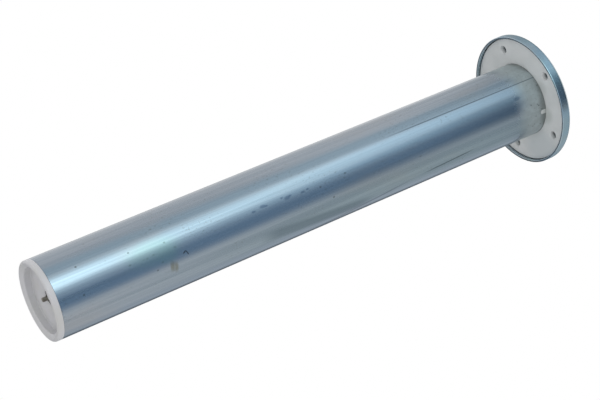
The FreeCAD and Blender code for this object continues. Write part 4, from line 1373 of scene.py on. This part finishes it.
@dataclass
class LightTent:
    """A round tent about the object that metal mirrors and the camera doesn't see."""

    fields: tuple[Field, ...]
    radius: float = 1.5
    foot: float = -1.2
    top: float = 3.0
    columns: int = 180
    rows: int = 60

    def build(self) -> None:
        """Put the tent into the scene, its light written on its points."""
        work = bmesh.new()
        rings = []
        glow = []
        for row in range(self.rows + 1):
            height = self.foot + (self.top - self.foot) * row / self.rows
            azimuths = [360.0 / self.columns * column for column in range(self.columns)]
            rings.append([work.verts.new(on_circle(self.radius, azimuth, height)) for azimuth in azimuths])
            glow += [self.light(azimuth, height) for azimuth in azimuths]
        for low, high in zip(rings, rings[1:]):
            for index in range(self.columns):
                after = (index + 1) % self.columns
                work.faces.new((low[after], low[index], high[index], high[after]))
        mesh = bpy.data.meshes.new("light_tent")
        work.to_mesh(mesh)
        work.free()
        attribute = mesh.color_attributes.new("glow", "FLOAT_COLOR", "POINT")
        attribute.data.foreach_set("color", [part for colour in glow for part in (*colour, 1.0)])
        mesh.materials.append(self.material())
        tent = mesh_object("light_tent", mesh)
        tent.visible_camera = False
        tent.visible_diffuse = False
        tent.visible_shadow = False

    def light(self, azimuth: float, height: float) -> Colour:
        """Radiance of the tent at an azimuth and height: white, with its fields laid over it in turn."""
        colour = Vector((1.0, 1.0, 1.0))
        for field in self.fields:
            colour = colour.lerp(Vector(field.colour), field.share(azimuth, height))
        return colour.x, colour.y, colour.z

    @staticmethod
    def material() -> Material:
        material = bpy.data.materials.new("tent_cloth")
        material.use_nodes = True
        material.cycles.emission_sampling = "NONE"
        material.node_tree.nodes.clear()
        tree = NodeTree(material.node_tree)
        written = tree.node("ShaderNodeAttribute", attribute_name="glow")
        emission = tree.node("ShaderNodeEmission", {0: written.outputs["Color"]})
        tree.node("ShaderNodeOutputMaterial", {0: emission.outputs[0]})
        return material


@dataclass
class Studio:
    """Camera, lamps, floor and white surroundings."""

    eye: Vector
    forward: Vector
    up: Vector
    lens: float = 91.658
    sensor: float = 36.0
    world_light: float = 0.8
    floor_height: float = -1.25
    floor_size: float = 30.0

    def build(self) -> None:
        """Set the scene."""
        self.make_camera()
        self.make_world()
        self.make_floor()
        middle = Vector((0.0, 0.0, -0.2))
        side = on_circle(1.5, -108.0, 0.1)
        Lamp("side", side, Vector((0.0, 0.0, 0.1)), width=0.5, tall=2.0, radiance=1.0,
             colour=(0.92, 0.98, 1.0), mirrored=False).build()
        Lamp("below", Vector((0.5, -0.7, -1.15)), middle, width=0.9, tall=0.9, radiance=0.5).build()
        LightTent((
            Field(-142.0, 14.0, 14.0, (0.73, 0.89, 0.97)),
            Field(15.0, 45.0, 40.0, (0.73, 0.83, 0.82), heights=(0.1, 0.6), strength=(0.1, 1.0)),
            Field(62.0, 20.0, 26.0, (0.66, 0.73, 0.80)),
            Field(92.0, 22.0, 20.0, (0.05, 0.07, 0.09)),
            Field(-102.4, 15.0, 20.0, (1.0, 1.4, 1.65), -8.2, (0.0, 1.0), (0.0, 1.0)),
            Field(-102.4, 15.0, 20.0, (2.5, 3.1, 3.2), -8.2, (0.0, 1.0), (1.0, 0.0)),
            Field(-77.0, 11.0, 14.0, (0.50, 0.84, 1.08), -7.0, strength=(0.5, 0.85)),
            Field(-50.0, 20.0, 22.0, (0.26, 0.40, 0.56), -6.4),
            Field(-34.0, 9.0, 12.0, (0.40, 0.46, 0.50), -5.0, (0.2, 1.0), (0.1, 0.7)),
            Field(0.0, 200.0, 1.0, (0.48, 0.56, 0.60), heights=(0.99, 1.07), strength=(0.0, 1.0)),
            Field(120.0, 62.0, 40.0, (0.27, 0.34, 0.36), heights=(0.99, 1.07), strength=(0.0, 1.0)),
            Field(-64.0, 30.0, 30.0, (0.02, 0.04, 0.06), heights=(0.99, 1.07), strength=(0.0, 1.0)),
        )).build()

    def make_camera(self) -> None:
        """Camera at the photograph's place and angle."""
        data = bpy.data.cameras.new("camera")
        data.lens = self.lens
        data.sensor_width = self.sensor
        data.sensor_fit = "HORIZONTAL"
        data.clip_start = 0.01
        data.clip_end = 100.0
        forward = self.forward.normalized()
        right = forward.cross(self.up).normalized()
        up = right.cross(forward)
        camera = bpy.data.objects.new("camera", data)
        turn = Matrix((right, up, -forward)).transposed()
        camera.matrix_world = Matrix.Translation(self.eye) @ turn.to_4x4()
        bpy.context.scene.collection.objects.link(camera)
        bpy.context.scene.camera = camera

    def make_world(self) -> None:
        """White for what is seen or mirrored, and a plain level of light for the rest."""
        world = bpy.data.worlds.new("studio")
        bpy.context.scene.world = world
        world.use_nodes = True
        tree = NodeTree(world.node_tree)
        path = tree.node("ShaderNodeLightPath").outputs
        seen = tree.math("MAXIMUM", path["Is Camera Ray"], path["Is Glossy Ray"])
        seen = tree.math("MAXIMUM", seen, path["Is Transmission Ray"])
        level = tree.node("ShaderNodeMapRange", {0: seen, 3: self.world_light, 4: 1.0})
        background = world.node_tree.nodes["Background"]
        tree.feed(background.inputs["Color"], (1.0, 1.0, 1.0))
        tree.feed(background.inputs["Strength"], level.outputs[0])

    def make_floor(self) -> None:
        """Pale floor well below the hanging tube."""
        half = self.floor_size / 2
        mesh = bpy.data.meshes.new("floor")
        level = self.floor_height
        corners = [(-half, -half, level), (half, -half, level), (half, half, level), (-half, half, level)]
        mesh.from_pydata(corners, [], [(0, 1, 2, 3)])
        shader = Shader("pale_floor")
        shader.set(Base_Color=(0.86, 0.86, 0.86), Roughness=0.9)
        mesh.materials.append(shader.material)
        mesh_object("floor", mesh)


def main() -> None:
    """Build the studio and every piece."""
    logging.basicConfig(level=logging.INFO, format="%(name)s: %(message)s")
    bpy.context.scene.view_settings.view_transform = "Standard"
    Studio(
        eye=Vector((0.19856, -0.89942, -0.64917)),
        forward=Vector((-0.18874, 0.87758, 0.44072)),
        up=Vector((-0.86427, -0.36153, 0.34976)),
    ).build()
    cut = RoundPattern(Combine.CUT)
    add = RoundPattern(Combine.ADD)
    thread = ScrewThread()
    ProtectiveTube(cut).build()
    BottomCap(cut).build()
    Flange(cut, add).build()
    GuideRod(thread).build()
    Terminals(thread).build()
    InnerParts().build()


if __name__ == "__main__":
    main()
